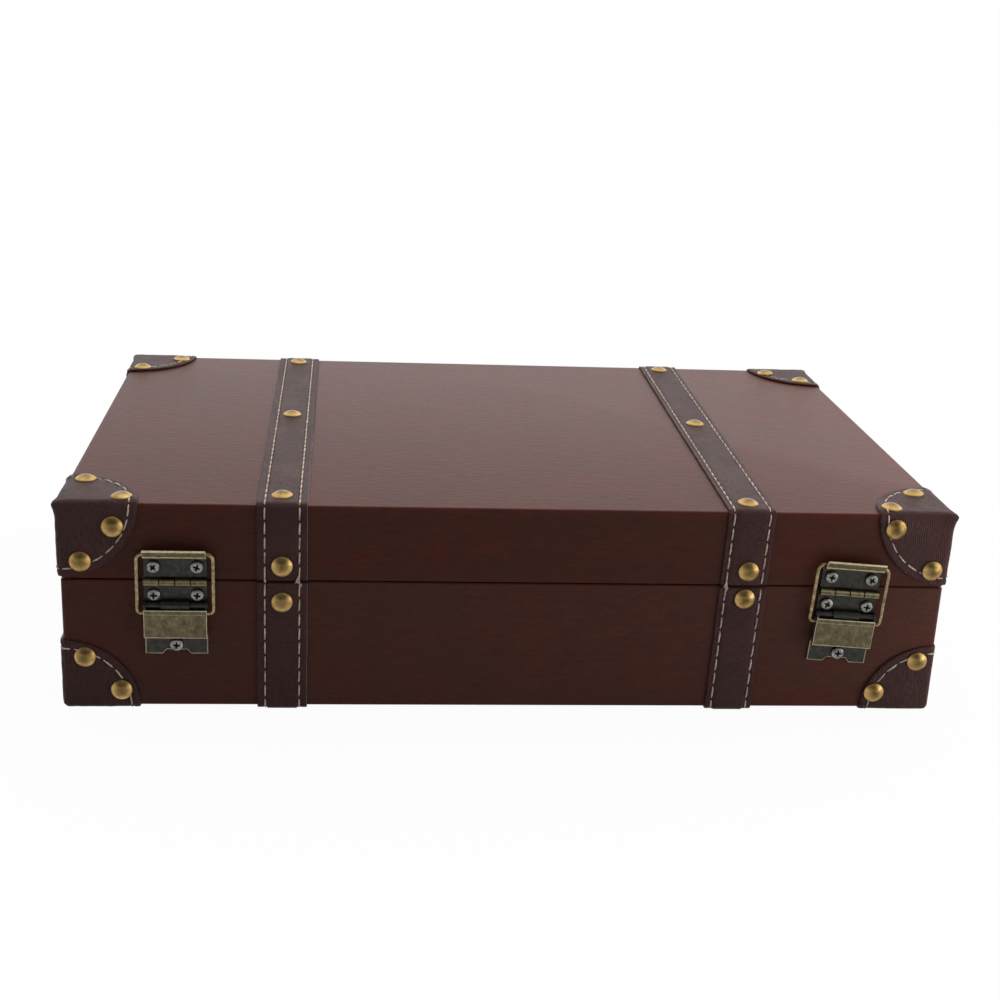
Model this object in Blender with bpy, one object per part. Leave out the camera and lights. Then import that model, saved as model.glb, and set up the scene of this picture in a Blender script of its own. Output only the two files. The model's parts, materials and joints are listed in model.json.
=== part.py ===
"""A wooden suitcase box: two boarded trays covered in leather, hinged at the back.

Two leather straps, eight leather corners, dome nails and two toggle latches dress it.
Units are metres, Z is up, X runs along the front, and Y runs from front to back.
The origin is on the ground under the middle of the box.
"""

from math import asin, atan2, cos, hypot, pi, radians, sin, tan

import bmesh
import bpy
from mathutils import Matrix, Vector

# Body
BODY_WIDTH = 0.380
BODY_DEPTH = 0.250
BASE_HEIGHT = 0.0578
LID_HEIGHT = 0.0335
SEAM_GAP = 0.0004
CORNER_RADIUS = 0.0020
EDGE_RADIUS = 0.0016
RIM_RADIUS = 0.0009
INNER_CORNER_RADIUS = 0.0004
COVER_THICKNESS = 0.0009
WALL_THICKNESS = 0.0060
PANEL_THICKNESS = 0.0040
LINING_THICKNESS = 0.0006
LINING_RIM_DROP = 0.0004
GAP = 0.0003

# Straps
LEFT_STRAP_WIDTH = 0.0220
RIGHT_STRAP_WIDTH = 0.0206
STRAP_THICKNESS = 0.0015
STRAP_FLANGE_THICKNESS = 0.0010
STRAP_FLANGE_WIDTH = 0.0031
STRAP_SLOPE_WIDTH = 0.0008
STRAP_END_SETBACK = 0.0005
LEFT_STRAP_INSET = 0.0912
RIGHT_STRAP_RIM_INSET = 0.0898
RIGHT_STRAP_FRONT_INSET = 0.0887
RIGHT_STRAP_BACK_INSET = 0.0857
RIGHT_STRAP_FOOT_INSET = 0.0915

# Leather corners
CORNER_THICKNESS = 0.0010
LID_CORNER_WIDTH = 0.0328
LID_CORNER_REACH = 0.0350
LID_CORNER_DROP = 0.0324
BASE_CORNER_WIDTH = 0.0316
BASE_CORNER_REACH = 0.0312
BASE_CORNER_RISE = 0.0302

# Dome nails
NAIL_RADIUS = 0.0045
NAIL_HEIGHT = 0.0025
NAIL_SINK = 0.0005
NAIL_SHOULDER_SHARE = 0.80
NAIL_SHOULDER_RISE_SHARE = 0.66
NAIL_CROWN_SHARE = 0.34
TOP_NAIL_SINK = 0.0005
LEFT_LID_NAIL_FAR = 0.0222
RIGHT_LID_NAIL_FAR = 0.0250
LEFT_LID_NAIL_DROP = 0.0089
RIGHT_LID_NAIL_DROP = 0.0063
LID_NAIL_SIDE = 0.0077
LOW_LID_NAIL_DROP = 0.0280
TOP_NAIL_ACROSS = 0.0248
TOP_NAIL_NEAR = 0.0055
LEFT_TOP_NAIL_FAR = 0.0275
RIGHT_TOP_NAIL_FAR = 0.0250
LEFT_BASE_NAIL_FAR = 0.0229
RIGHT_BASE_NAIL_FAR = 0.0259
BASE_NAIL_NEAR = 0.0071
BASE_NAIL_RISE = 0.0224
BASE_NAIL_SIDE = 0.0083
END_NAIL_SIDE = 0.0150
STRAP_TOP_NAIL_INSET = 0.0100
STRAP_MIDDLE_NAIL_SHARE = 0.534
LID_STRAP_NAIL_RISE = 0.0072
LEFT_BASE_NAIL_DROP = 0.0090
RIGHT_BASE_NAIL_DROP = 0.0062
RIGHT_LID_NAIL_SHIFT = 0.0010

# Latches, measured from the line of their knuckles and out from the front
SHEET_THICKNESS = 0.0008
LATCH_WIDTH = 0.0262
LEFT_LATCH_INSET = 0.0476
RIGHT_LATCH_INSET = 0.0429
LEFT_LATCH_DROP = 0.0002
RIGHT_LATCH_DROP = 0.0022
RIGHT_LATCH_TILT = 3.8
KNUCKLE_RADIUS = 0.0013
KNUCKLE_WRAP = 280
KNUCKLE_SIDE_GAP = 0.0005
KNUCKLE_COUNT = 4
HOOK_RISE = 0.0132
HOOK_INNER_RADIUS = 0.00175
HOOK_OUT = 0.0027
HOOK_BEND_RADIUS = 0.0007
HOOK_FLARE = 28
HOOK_LIP_RISE = 0.0022
KEEPER_SCREW_RISE = 0.0067
LATCH_SCREW_DROP = 0.0059
LATCH_SCREW_INSET = 0.0041
LOW_SCREW_DROP = 0.0286
LATCH_PLATE_DROP = 0.0331
NOTCH_HALF_WIDTH = 0.0060
NOTCH_TOP_HALF_WIDTH = 0.0043
NOTCH_DEPTH = 0.0020
PIVOT_DROP = 0.0100
PIVOT_OUT = 0.0030
PIVOT_ROLL_INSET = 0.0072
PIVOT_ROLL_WRAP = 225
PIN_RADIUS = 0.0009
PIN_CLEARANCE = 0.00025
PIN_HEAD_RADIUS = 0.00125
PIN_HEAD_THICKNESS = 0.00045
LEVER_TOP_DROP = 0.0117
LEVER_BOTTOM_DROP = 0.0243
LEVER_LUG_RADIUS = 0.0016
LEVER_INNER_OUT = 0.0043
LEVER_FLANGE_STRAIGHT_DROP = 0.0180
LEVER_FLANGE_FOOT_OUT = 0.0036
BAIL_WIRE_RADIUS = 0.00085
BAIL_PIVOT_DROP = 0.0136
BAIL_SIDE_OUT = 0.0027
BAIL_BAR_DROP = 0.0005
BAIL_BAR_OUT = 0.0025
BAIL_TOP_RADIUS = 0.0028
BAIL_FOOT_RADIUS = 0.0017
BAIL_END_OVERRUN = 0.0005

# Screws
SCREW_HEAD_RADIUS = 0.00275
SCREW_HEAD_HEIGHT = 0.0014
SCREW_RIM_SHARE = 0.45
SCREW_CROWN_SHARE = 0.72
SCREW_SHANK_RADIUS = 0.0010
SCREW_SHANK_LENGTH = 0.0062
SCREW_TIP_LENGTH = 0.0015
SCREW_TIP_SHARE = 0.25
SCREW_HOLE_RADIUS = 0.0013
SCREW_HOLE_DEPTH = 0.0067
CROSS_HALF_LENGTH = 0.0016
CROSS_HALF_WIDTH = 0.00045
CROSS_DEPTH = 0.0009
LEFT_SCREW_TURNS = (40, 22, 3, 10, 6)
RIGHT_SCREW_TURNS = (12, 35, 28, 8, 41)
HINGE_SCREW_TURNS = (23, 46, 69, 92)

# Back hinges
HINGE_INSET = 0.0580
HINGE_WIDTH = 0.0300
HINGE_LEAF_HEIGHT = 0.0150
HINGE_WRAP = 275
HINGE_SCREW_INSET = 0.0060
HINGE_SCREW_HEIGHT = 0.0085
HINGE_KNUCKLE_COUNT = 3
HINGE_STOP_ANGLE = 105
HINGE_HEEL_REACH = 0.0033
HINGE_HEEL_HALF_THICKNESS = 0.0005
HINGE_HEEL_CLEARANCE = 0.0002

# Facets of the round shapes
CORNER_STEPS = 2
EDGE_STEPS = 2
RIM_STEPS = 2
NAIL_SIDES = 10
SCREW_SIDES = 10
HOLE_SIDES = 8
PIN_SIDES = 10
WIRE_BEVEL_COUNT = 2
BALL_SEGMENTS = 24
BALL_RINGS = 12
ROLL_STEP = 28
HOOK_STEP = 14
BAIL_CORNER_STEP = 22.5
SMOOTH_ANGLE = 35

# Looks: colour, roughness, metallic
LEATHER = ((0.105, 0.039, 0.030), 0.48, 0.0)
TRIM_LEATHER = ((0.070, 0.036, 0.034), 0.52, 0.0)
BOARD = ((0.46, 0.33, 0.20), 0.75, 0.0)
LINING = ((0.52, 0.42, 0.30), 0.95, 0.0)
BRASS = ((0.42, 0.30, 0.12), 0.36, 1.0)
BRONZE = ((0.22, 0.17, 0.09), 0.42, 1.0)
DARK_METAL = ((0.045, 0.045, 0.045), 0.45, 0.9)
SCREW_METAL = ((0.42, 0.41, 0.39), 0.35, 1.0)

# Places worked out from the sizes
SHEET_MID = GAP + SHEET_THICKNESS / 2
SHEET_FACE = GAP + SHEET_THICKNESS
KNUCKLE_MID_OUT = SHEET_MID + KNUCKLE_RADIUS
KNUCKLE_CLEAR = KNUCKLE_RADIUS + SHEET_THICKNESS / 2 + GAP
HOOK_MID_RADIUS = HOOK_INNER_RADIUS + SHEET_THICKNESS / 2
LATCH_SCREW_SPREAD = LATCH_WIDTH / 2 - LATCH_SCREW_INSET
PIVOT_ROLL_HALF_WIDTH = LATCH_WIDTH / 2 - PIVOT_ROLL_INSET
BAIL_HALF_WIDTH = LATCH_WIDTH / 2 + BAIL_SIDE_OUT
HINGE_SCREW_SPREAD = HINGE_WIDTH / 2 - HINGE_SCREW_INSET
HOLE_IN_ROLL = PIN_RADIUS + PIN_CLEARANCE
ROLL_MID_RADIUS = HOLE_IN_ROLL + SHEET_THICKNESS / 2
STRAP_RISE = GAP + STRAP_THICKNESS
BODY_BOTTOM = STRAP_RISE
RIM_Z = BODY_BOTTOM + BASE_HEIGHT
LID_Z = RIM_Z + SEAM_GAP
TOP_Z = LID_Z + LID_HEIGHT
SEAM_Z = (RIM_Z + LID_Z) / 2
BOARD_INSET = COVER_THICKNESS + GAP
LINING_INSET = BOARD_INSET + WALL_THICKNESS + GAP
HINGE_AXIS_OUT = SHEET_MID + ROLL_MID_RADIUS
HOOK_REACH = (
    HOOK_OUT
    + HOOK_MID_RADIUS / cos(radians(HOOK_FLARE))
    + HOOK_LIP_RISE * tan(radians(HOOK_FLARE))
    + SHEET_THICKNESS / 2 * cos(radians(HOOK_FLARE))
)
HEEL_SWING = hypot(HINGE_HEEL_REACH, HINGE_HEEL_HALF_THICKNESS)
HEEL_LEAN = asin((HINGE_AXIS_OUT - SHEET_FACE - HINGE_HEEL_CLEARANCE) / HEEL_SWING) - atan2(
    HINGE_HEEL_HALF_THICKNESS, HINGE_HEEL_REACH
)
HEEL_ANGLE = radians(HINGE_STOP_ANGLE) - pi / 2 - HEEL_LEAN
BACK_REACH = (
    HINGE_AXIS_OUT
    + HINGE_HEEL_REACH * cos(HEEL_ANGLE)
    + HINGE_HEEL_HALF_THICKNESS * sin(abs(HEEL_ANGLE))
)
FRONT_Y = (HOOK_REACH - BACK_REACH) / 2 - BODY_DEPTH / 2
BACK_Y = FRONT_Y + BODY_DEPTH
MIDDLE_Y = (FRONT_Y + BACK_Y) / 2
LEFT_X = -BODY_WIDTH / 2
RIGHT_X = BODY_WIDTH / 2


def clear_scene():
    """Remove what the new scene comes with."""
    for item in list(bpy.data.objects):
        bpy.data.objects.remove(item, do_unlink=True)


def make_material(name, look):
    """A plain surface with a colour, a roughness and a metallic value."""
    colour, roughness, metallic = look
    material = bpy.data.materials.new(name)
    material.use_nodes = True
    surface = material.node_tree.nodes["Principled BSDF"]
    surface.inputs["Base Color"].default_value = (*colour, 1.0)
    surface.inputs["Roughness"].default_value = roughness
    surface.inputs["Metallic"].default_value = metallic
    material.diffuse_color = (*colour, 1.0)
    return material


def add_object(name, mesh, look, parent, place=(0.0, 0.0, 0.0)):
    """Link a mesh or curve as a named sub-part under its parent."""
    item = bpy.data.objects.new(name, mesh)
    bpy.context.collection.objects.link(item)
    item.parent = parent
    item.location = place
    if not mesh.materials:
        mesh.materials.append(make_material(name, look))
    return item


def add_frame(name, place, tilt=0.0, parent=None):
    """An empty that carries pieces and marks a joint's axis."""
    frame = bpy.data.objects.new(name, None)
    bpy.context.collection.objects.link(frame)
    frame.parent = parent
    frame.location = place
    frame.rotation_euler = (0.0, tilt, 0.0)
    return frame


def as_guide(item):
    """Mark an object as a guide that isn't a part of the box."""
    item.hide_render = True
    item.display_type = "WIRE"
    return item


def add_boolean(item, tool, operation):
    """Cut, join or keep a shape with the help of a guide."""
    modifier = item.modifiers.new(operation.lower(), "BOOLEAN")
    modifier.operation = operation
    modifier.solver = "EXACT"
    modifier.object = tool


def mesh_of(name, build):
    """Make a mesh by running a builder on a fresh bmesh."""
    mesh = bpy.data.meshes.new(name)
    shape = bmesh.new()
    build(shape)
    bmesh.ops.recalc_face_normals(shape, faces=shape.faces)
    shape.to_mesh(mesh)
    shape.free()
    return mesh


def smooth(mesh):
    """Shade round pieces smooth and keep their real edges."""
    mesh.shade_smooth()
    mesh.set_sharp_from_angle(angle=radians(SMOOTH_ANGLE))
    return mesh


def loft(shape, rings):
    """Skin closed rings of points in order and cap both ends."""
    loops = [[shape.verts.new(point) for point in ring] for ring in rings]
    for lower, upper in zip(loops, loops[1:]):
        for index, corner in enumerate(lower):
            following = (index + 1) % len(lower)
            shape.faces.new((corner, lower[following], upper[following], upper[index]))
    shape.faces.new(reversed(loops[0]))
    shape.faces.new(loops[-1])


def block(shape, low, high):
    """A box between two opposite corners."""
    ring = ((0, 0), (1, 0), (1, 1), (0, 1))
    ends = (low, high)
    rings = [
        [(ends[i][0], ends[j][1], ends[k][2]) for i, j in ring] for k in (0, 1)
    ]
    loft(shape, rings)


def rounded_rectangle(inset, height):
    """Points round the body's outline, drawn in by an inset, at one height."""
    radius = max(CORNER_RADIUS - inset, INNER_CORNER_RADIUS)
    across = BODY_WIDTH / 2 - inset - radius
    along = BODY_DEPTH / 2 - inset - radius
    points = []
    for quarter, (side_x, side_y) in enumerate(((1, 1), (-1, 1), (-1, -1), (1, -1))):
        for step in range(CORNER_STEPS + 1):
            angle = pi / 2 * (quarter + step / CORNER_STEPS)
            x = side_x * across + radius * cos(angle)
            y = MIDDLE_Y + side_y * along + radius * sin(angle)
            points.append((x, y, height))
    return points


def edge_levels(radius, inset, steps):
    """Insets and heights up a rounded bottom edge, from flat to upright."""
    levels = []
    for step in range(steps + 1):
        angle = pi / 2 * step / steps
        levels.append((inset + radius * (1 - sin(angle)), inset + radius * (1 - cos(angle))))
    return levels


def tray(shape, outer, inner, upside_down, origin_z):
    """A tray between two skins, each a list of insets and heights above its floor."""
    turn = -1 if upside_down else 1
    levels = list(outer) + list(reversed(inner))
    loft(shape, [rounded_rectangle(inset, origin_z + turn * height) for inset, height in levels])


def cover_mesh(name, wall_height, upside_down, floor_z):
    """Leather over the outside of a tray, turned in over its rim."""
    outer = edge_levels(EDGE_RADIUS, 0.0, EDGE_STEPS)
    rim = wall_height - RIM_RADIUS
    for step in range(RIM_STEPS + 1):
        angle = pi / 2 * step / RIM_STEPS
        outer.append((RIM_RADIUS * (1 - cos(angle)), rim + RIM_RADIUS * sin(angle)))
    lip = LINING_INSET - GAP
    outer.append((lip, wall_height))
    inner = edge_levels(EDGE_RADIUS - COVER_THICKNESS, COVER_THICKNESS, EDGE_STEPS)
    inner.append((COVER_THICKNESS, wall_height - COVER_THICKNESS))
    inner.append((lip, wall_height - COVER_THICKNESS))
    return mesh_of(
        name, lambda shape: tray(shape, outer, inner, upside_down, floor_z)
    )


def lining_mesh(name, wall_height, upside_down, floor_z):
    """Cloth over the inside of a tray."""
    floor = BOARD_INSET + PANEL_THICKNESS + GAP
    top = wall_height - LINING_RIM_DROP
    outer = [(LINING_INSET, floor), (LINING_INSET, top)]
    inside = LINING_INSET + LINING_THICKNESS
    inner = [(inside, floor + LINING_THICKNESS), (inside, top)]
    return mesh_of(
        name, lambda shape: tray(shape, outer, inner, upside_down, floor_z)
    )


def panel_mesh(name, upside_down, floor_z):
    """The thin board that closes a tray, rounded where the leather bends."""
    turn = -1 if upside_down else 1
    levels = edge_levels(EDGE_RADIUS - BOARD_INSET, BOARD_INSET, EDGE_STEPS)
    levels.append((BOARD_INSET, BOARD_INSET + PANEL_THICKNESS))

    def build(shape):
        rings = [rounded_rectangle(inset, floor_z + turn * height) for inset, height in levels]
        loft(shape, rings)

    return mesh_of(name, build)


def corner_skin_mesh(name, wall_height, upside_down, floor_z):
    """A leather skin just outside the cover, which the corners are cut from."""
    near = -GAP
    far = -GAP - CORNER_THICKNESS
    outer = edge_levels(EDGE_RADIUS - far, far, EDGE_STEPS)
    outer.append((far, wall_height))
    inner = edge_levels(EDGE_RADIUS - near, near, EDGE_STEPS)
    inner.append((near, wall_height))
    return mesh_of(
        name, lambda shape: tray(shape, outer, inner, upside_down, floor_z)
    )


def turned(shape, profile, sides, matrix):
    """A solid turned about Z from radius and height pairs, with its ends closed."""
    rings = []
    for radius, height in profile:
        ring = []
        for side in range(sides):
            angle = 2 * pi * side / sides
            ring.append(matrix @ Vector((radius * cos(angle), radius * sin(angle), height)))
        rings.append(ring)
    loft(shape, rings)


def facing(direction):
    """The turn that points a shape's Z axis along a direction."""
    return Vector(direction).to_track_quat("Z", "Y").to_matrix().to_4x4()


def nail_dome(shape, place, direction):
    """One dome nail head, sunk a little into its leather."""
    profile = (
        (NAIL_RADIUS, -NAIL_SINK),
        (NAIL_RADIUS, 0.0),
        (NAIL_RADIUS * NAIL_SHOULDER_SHARE, NAIL_HEIGHT * NAIL_SHOULDER_RISE_SHARE),
        (NAIL_RADIUS * NAIL_CROWN_SHARE, NAIL_HEIGHT),
    )
    turned(shape, profile, NAIL_SIDES, Matrix.Translation(place) @ facing(direction))


def add_nails(item, nails):
    """Join dome nails to the leather that they hold down."""

    def build(shape):
        for place, direction in nails:
            nail_dome(shape, place, direction)

    mesh = mesh_of(item.name + "_nails", build)
    guide = as_guide(add_object(item.name + "_nails", mesh, BRASS, item.parent, item.location))
    add_boolean(item, guide, "UNION")


def add_boards(prefix, parent, shift, floor_z, turn, wall_height, front_holes, back_holes):
    """Four walls and a panel, standing inside the leather."""
    low = floor_z + turn * (BOARD_INSET + PANEL_THICKNESS + GAP)
    high = floor_z + turn * (wall_height - COVER_THICKNESS - GAP)
    bottom, top = min(low, high), max(low, high)
    outer_x = RIGHT_X - BOARD_INSET
    rounding = CORNER_RADIUS - BOARD_INSET

    def long_wall(outer_y, inner_y, side):
        def build(shape):
            sweep = []
            for end in (-1, 1):
                for step in range(CORNER_STEPS + 1):
                    angle = pi / 2 * step / CORNER_STEPS
                    if end > 0:
                        angle = pi / 2 - angle
                    x = end * (outer_x - rounding * (1 - cos(angle)))
                    y = outer_y + side * rounding * (1 - sin(angle))
                    sweep.append((x, y))
            outline = sweep + [(outer_x, inner_y), (-outer_x, inner_y)]
            loft(shape, [[(x, y, z) for x, y in outline] for z in (bottom, top)])

        return build

    front_outer = FRONT_Y + BOARD_INSET
    front_inner = front_outer + WALL_THICKNESS
    back_outer = BACK_Y - BOARD_INSET
    back_inner = back_outer - WALL_THICKNESS
    front = mesh_of(prefix + "_front_board", long_wall(front_outer, front_inner, 1))
    back = mesh_of(prefix + "_back_board", long_wall(back_outer, back_inner, -1))
    front = add_object(prefix + "_front_board", front, BOARD, parent, shift)
    back = add_object(prefix + "_back_board", back, BOARD, parent, shift)
    add_boolean(front, front_holes, "DIFFERENCE")
    add_boolean(back, back_holes, "DIFFERENCE")
    for word, side in (("left", -1), ("right", 1)):
        ends = sorted((side * outer_x, side * (outer_x - WALL_THICKNESS)))
        mesh = mesh_of(
            f"{prefix}_{word}_board",
            lambda shape: block(
                shape,
                (ends[0], front_inner + GAP, bottom),
                (ends[1], back_inner - GAP, top),
            ),
        )
        add_object(f"{prefix}_{word}_board", mesh, BOARD, parent, shift)
    panel = prefix + ("_top_panel" if turn < 0 else "_bottom_panel")
    add_object(panel, panel_mesh(panel, turn < 0, floor_z), BOARD, parent, shift)


def strap_mesh(name, width, floor_z, turn, wall_height, side_x, middle_x, back_x):
    """A strap round a tray: up its front, over its closed side and down its back.

    side_x is its middle at the rim in front, middle_x at the front edge and back_x at the back edge.
    """
    inner_radius = EDGE_RADIUS + GAP
    rim = floor_z + turn * (wall_height - STRAP_END_SETBACK)
    edge = floor_z + turn * EDGE_RADIUS
    stations = [(side_x, FRONT_Y - GAP, rim, pi)]
    for step in range(EDGE_STEPS + 1):
        angle = pi + pi / 2 * step / EDGE_STEPS
        y = FRONT_Y + EDGE_RADIUS + inner_radius * cos(angle)
        z = edge + turn * inner_radius * sin(angle)
        stations.append((middle_x, y, z, angle))
    for step in range(EDGE_STEPS + 1):
        angle = 3 * pi / 2 + pi / 2 * step / EDGE_STEPS
        y = BACK_Y - EDGE_RADIUS + inner_radius * cos(angle)
        z = edge + turn * inner_radius * sin(angle)
        stations.append((back_x, y, z, angle))
    stations.append((back_x, BACK_Y + GAP, rim, 2 * pi))
    half = width / 2
    shoulder = half - STRAP_FLANGE_WIDTH
    crown = shoulder - STRAP_SLOPE_WIDTH
    section = (
        (-half, 0.0),
        (half, 0.0),
        (half, STRAP_FLANGE_THICKNESS),
        (shoulder, STRAP_FLANGE_THICKNESS),
        (crown, STRAP_THICKNESS),
        (-crown, STRAP_THICKNESS),
        (-shoulder, STRAP_FLANGE_THICKNESS),
        (-half, STRAP_FLANGE_THICKNESS),
    )

    def build(shape):
        rings = []
        for x, y, z, angle in stations:
            ring = []
            for across, rise in section:
                ring.append((x + across, y + rise * cos(angle), z + turn * rise * sin(angle)))
            rings.append(ring)
        loft(shape, rings)

    return mesh_of(name, build)


def sheet_rings(path, left, right):
    """Rings of a bent sheet: a path of out and height pairs, between two sides."""
    rings = []
    half = SHEET_THICKNESS / 2
    for index, point in enumerate(path):
        before = path[max(index - 1, 0)]
        after = path[min(index + 1, len(path) - 1)]
        arriving = Vector(point) - Vector(before)
        leaving = Vector(after) - Vector(point)
        if index == 0:
            arriving = leaving
        if index == len(path) - 1:
            leaving = arriving
        arriving.normalize()
        leaving.normalize()
        along = (arriving + leaving).normalized()
        normal = Vector((-along.y, along.x)) * half / along.dot(leaving)
        first = Vector(point) + normal
        second = Vector(point) - normal
        rings.append([
            (left, -first.x, first.y),
            (right, -first.x, first.y),
            (right, -second.x, second.y),
            (left, -second.x, second.y),
        ])
    return rings


def arc(centre, radius, start, end, step=ROLL_STEP):
    """Points along an arc, with angles in degrees from straight out."""
    count = max(2, round(abs(end - start) / step))
    points = []
    for index in range(count + 1):
        angle = radians(start + (end - start) * index / count)
        points.append((centre[0] + radius * cos(angle), centre[1] + radius * sin(angle)))
    return points


def knuckle_cutter(name, parent, place, width, count, kept, low, high, reach):
    """Blocks that clear the room of the other leaf's knuckles."""
    pitch = width / count

    def build(shape):
        for number in range(count):
            if number % 2 == kept:
                continue
            left = -width / 2 + number * pitch
            right = left + pitch
            grow = KNUCKLE_SIDE_GAP / 2
            left -= grow if number else pitch
            right += grow if number < count - 1 else pitch
            block(shape, (left, -reach, low), (right, reach, high))

    guide = add_object(name, mesh_of(name, build), DARK_METAL, parent, place)
    return as_guide(guide)


def hole_cutter(name, parent, place, spots):
    """Round cutters through the front or back of a piece, at across and height pairs."""

    def build(shape):
        for (x, z), radius, start, end in spots:
            matrix = Matrix.Translation((x, 0.0, z)) @ facing((0.0, 1.0, 0.0))
            turned(shape, [(radius, start), (radius, end)], HOLE_SIDES, matrix)

    guide = add_object(name, mesh_of(name, build), DARK_METAL, parent, place)
    return as_guide(guide)


def screw_mesh():
    """A round headed screw with a cross recess, its head's seat at the origin and facing -Y."""
    profile = (
        (SCREW_SHANK_RADIUS * SCREW_TIP_SHARE, -SCREW_SHANK_LENGTH),
        (SCREW_SHANK_RADIUS, SCREW_TIP_LENGTH - SCREW_SHANK_LENGTH),
        (SCREW_SHANK_RADIUS, 0.0),
        (SCREW_HEAD_RADIUS, 0.0),
        (SCREW_HEAD_RADIUS, SCREW_HEAD_HEIGHT * SCREW_RIM_SHARE),
        (SCREW_HEAD_RADIUS * SCREW_CROWN_SHARE, SCREW_HEAD_HEIGHT),
    )
    matrix = facing((0.0, -1.0, 0.0))
    body = mesh_of("screw_blank", lambda shape: turned(shape, profile, SCREW_SIDES, matrix))
    length = CROSS_HALF_LENGTH
    width = CROSS_HALF_WIDTH
    plan = (
        (length, -width), (length, width), (width, width), (width, length),
        (-width, length), (-width, width), (-length, width), (-length, -width),
        (-width, -width), (-width, -length), (width, -length), (width, -width),
    )
    deep = SCREW_HEAD_HEIGHT - CROSS_DEPTH
    levels = (deep, SCREW_HEAD_HEIGHT + CROSS_DEPTH)
    cross = mesh_of(
        "screw_cross",
        lambda shape: loft(shape, [[matrix @ Vector((x, y, z)) for x, y in plan] for z in levels]),
    )
    blank = bpy.data.objects.new("screw_blank", body)
    tool = bpy.data.objects.new("screw_cross", cross)
    for item in (blank, tool):
        bpy.context.collection.objects.link(item)
    add_boolean(blank, tool, "DIFFERENCE")
    seen = blank.evaluated_get(bpy.context.evaluated_depsgraph_get())
    mesh = bpy.data.meshes.new_from_object(seen)
    for item in (blank, tool):
        bpy.data.objects.remove(item, do_unlink=True)
    mesh.name = "screw"
    mesh.materials.clear()
    mesh.materials.append(make_material("screw", SCREW_METAL))
    return smooth(mesh)


def add_screw(name, mesh, parent, place, turn_degrees, backward=False):
    """One screw in its hole, turned to where its driver left it."""
    item = add_object(name, mesh, SCREW_METAL, parent, place)
    facing_turn = pi if backward else 0.0
    turn = Matrix.Rotation(facing_turn, 4, "Z") @ Matrix.Rotation(radians(turn_degrees), 4, "Y")
    item.rotation_euler = turn.to_euler()
    return item


def tube_curve(name, points, radius):
    """A round wire along a list of points, with its ends closed."""
    curve = bpy.data.curves.new(name, "CURVE")
    curve.dimensions = "3D"
    curve.bevel_depth = radius
    curve.bevel_resolution = WIRE_BEVEL_COUNT
    curve.use_fill_caps = True
    spline = curve.splines.new("POLY")
    spline.points.add(len(points) - 1)
    for target, point in zip(spline.points, points):
        target.co = (*point, 1.0)
    return curve


def pin_mesh(name, width):
    """A round pin along X through a width, with a peened head at each end."""
    shoulder = width / 2 + PIN_CLEARANCE
    end = shoulder + PIN_HEAD_THICKNESS
    profile = (
        (PIN_RADIUS, -end),
        (PIN_HEAD_RADIUS, -end + PIN_HEAD_THICKNESS / 2),
        (PIN_HEAD_RADIUS, -shoulder),
        (PIN_RADIUS, -shoulder),
        (PIN_RADIUS, shoulder),
        (PIN_HEAD_RADIUS, shoulder),
        (PIN_HEAD_RADIUS, end - PIN_HEAD_THICKNESS / 2),
        (PIN_RADIUS, end),
    )
    matrix = facing((1.0, 0.0, 0.0))
    return smooth(mesh_of(name, lambda shape: turned(shape, profile, PIN_SIDES, matrix)))


def knuckle_path(upward):
    """The curl of a plate's edge round the knuckle line."""
    turn = 1 if upward else -1
    return arc((KNUCKLE_MID_OUT, 0.0), KNUCKLE_RADIUS, 180, 180 - turn * KNUCKLE_WRAP)


def add_keeper(side, frame):
    """The upper plate: a hook for the bail above, two curled knuckles below."""
    hook = (HOOK_OUT, HOOK_RISE)
    bend = (SHEET_MID + HOOK_BEND_RADIUS, HOOK_RISE - HOOK_MID_RADIUS - HOOK_BEND_RADIUS)
    path = list(reversed(knuckle_path(False)))
    path += arc(bend, HOOK_BEND_RADIUS, 180, 90)
    path += arc(hook, HOOK_MID_RADIUS, -90, -HOOK_FLARE, HOOK_STEP)
    lip_top = HOOK_RISE + HOOK_LIP_RISE
    last_out, last_height = path[-1]
    path.append((last_out + (lip_top - last_height) * tan(radians(HOOK_FLARE)), lip_top))
    half = LATCH_WIDTH / 2
    name = side + "_keeper"
    mesh = mesh_of(name, lambda shape: loft(shape, sheet_rings(path, -half, half)))
    keeper = add_object(name, mesh, DARK_METAL, frame)
    reach = 2 * (KNUCKLE_MID_OUT + KNUCKLE_RADIUS)
    cutter = knuckle_cutter(
        name + "_notches", frame, (0.0, 0.0, 0.0), LATCH_WIDTH, KNUCKLE_COUNT, 0,
        -2 * KNUCKLE_CLEAR, KNUCKLE_CLEAR, reach,
    )
    add_boolean(keeper, cutter, "DIFFERENCE")
    spots = [
        ((place * LATCH_SCREW_SPREAD, KEEPER_SCREW_RISE), SCREW_HOLE_RADIUS, -reach, reach)
        for place in (-1, 1)
    ]
    add_boolean(keeper, hole_cutter(name + "_holes", frame, (0.0, 0.0, 0.0), spots), "DIFFERENCE")
    return keeper


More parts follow.
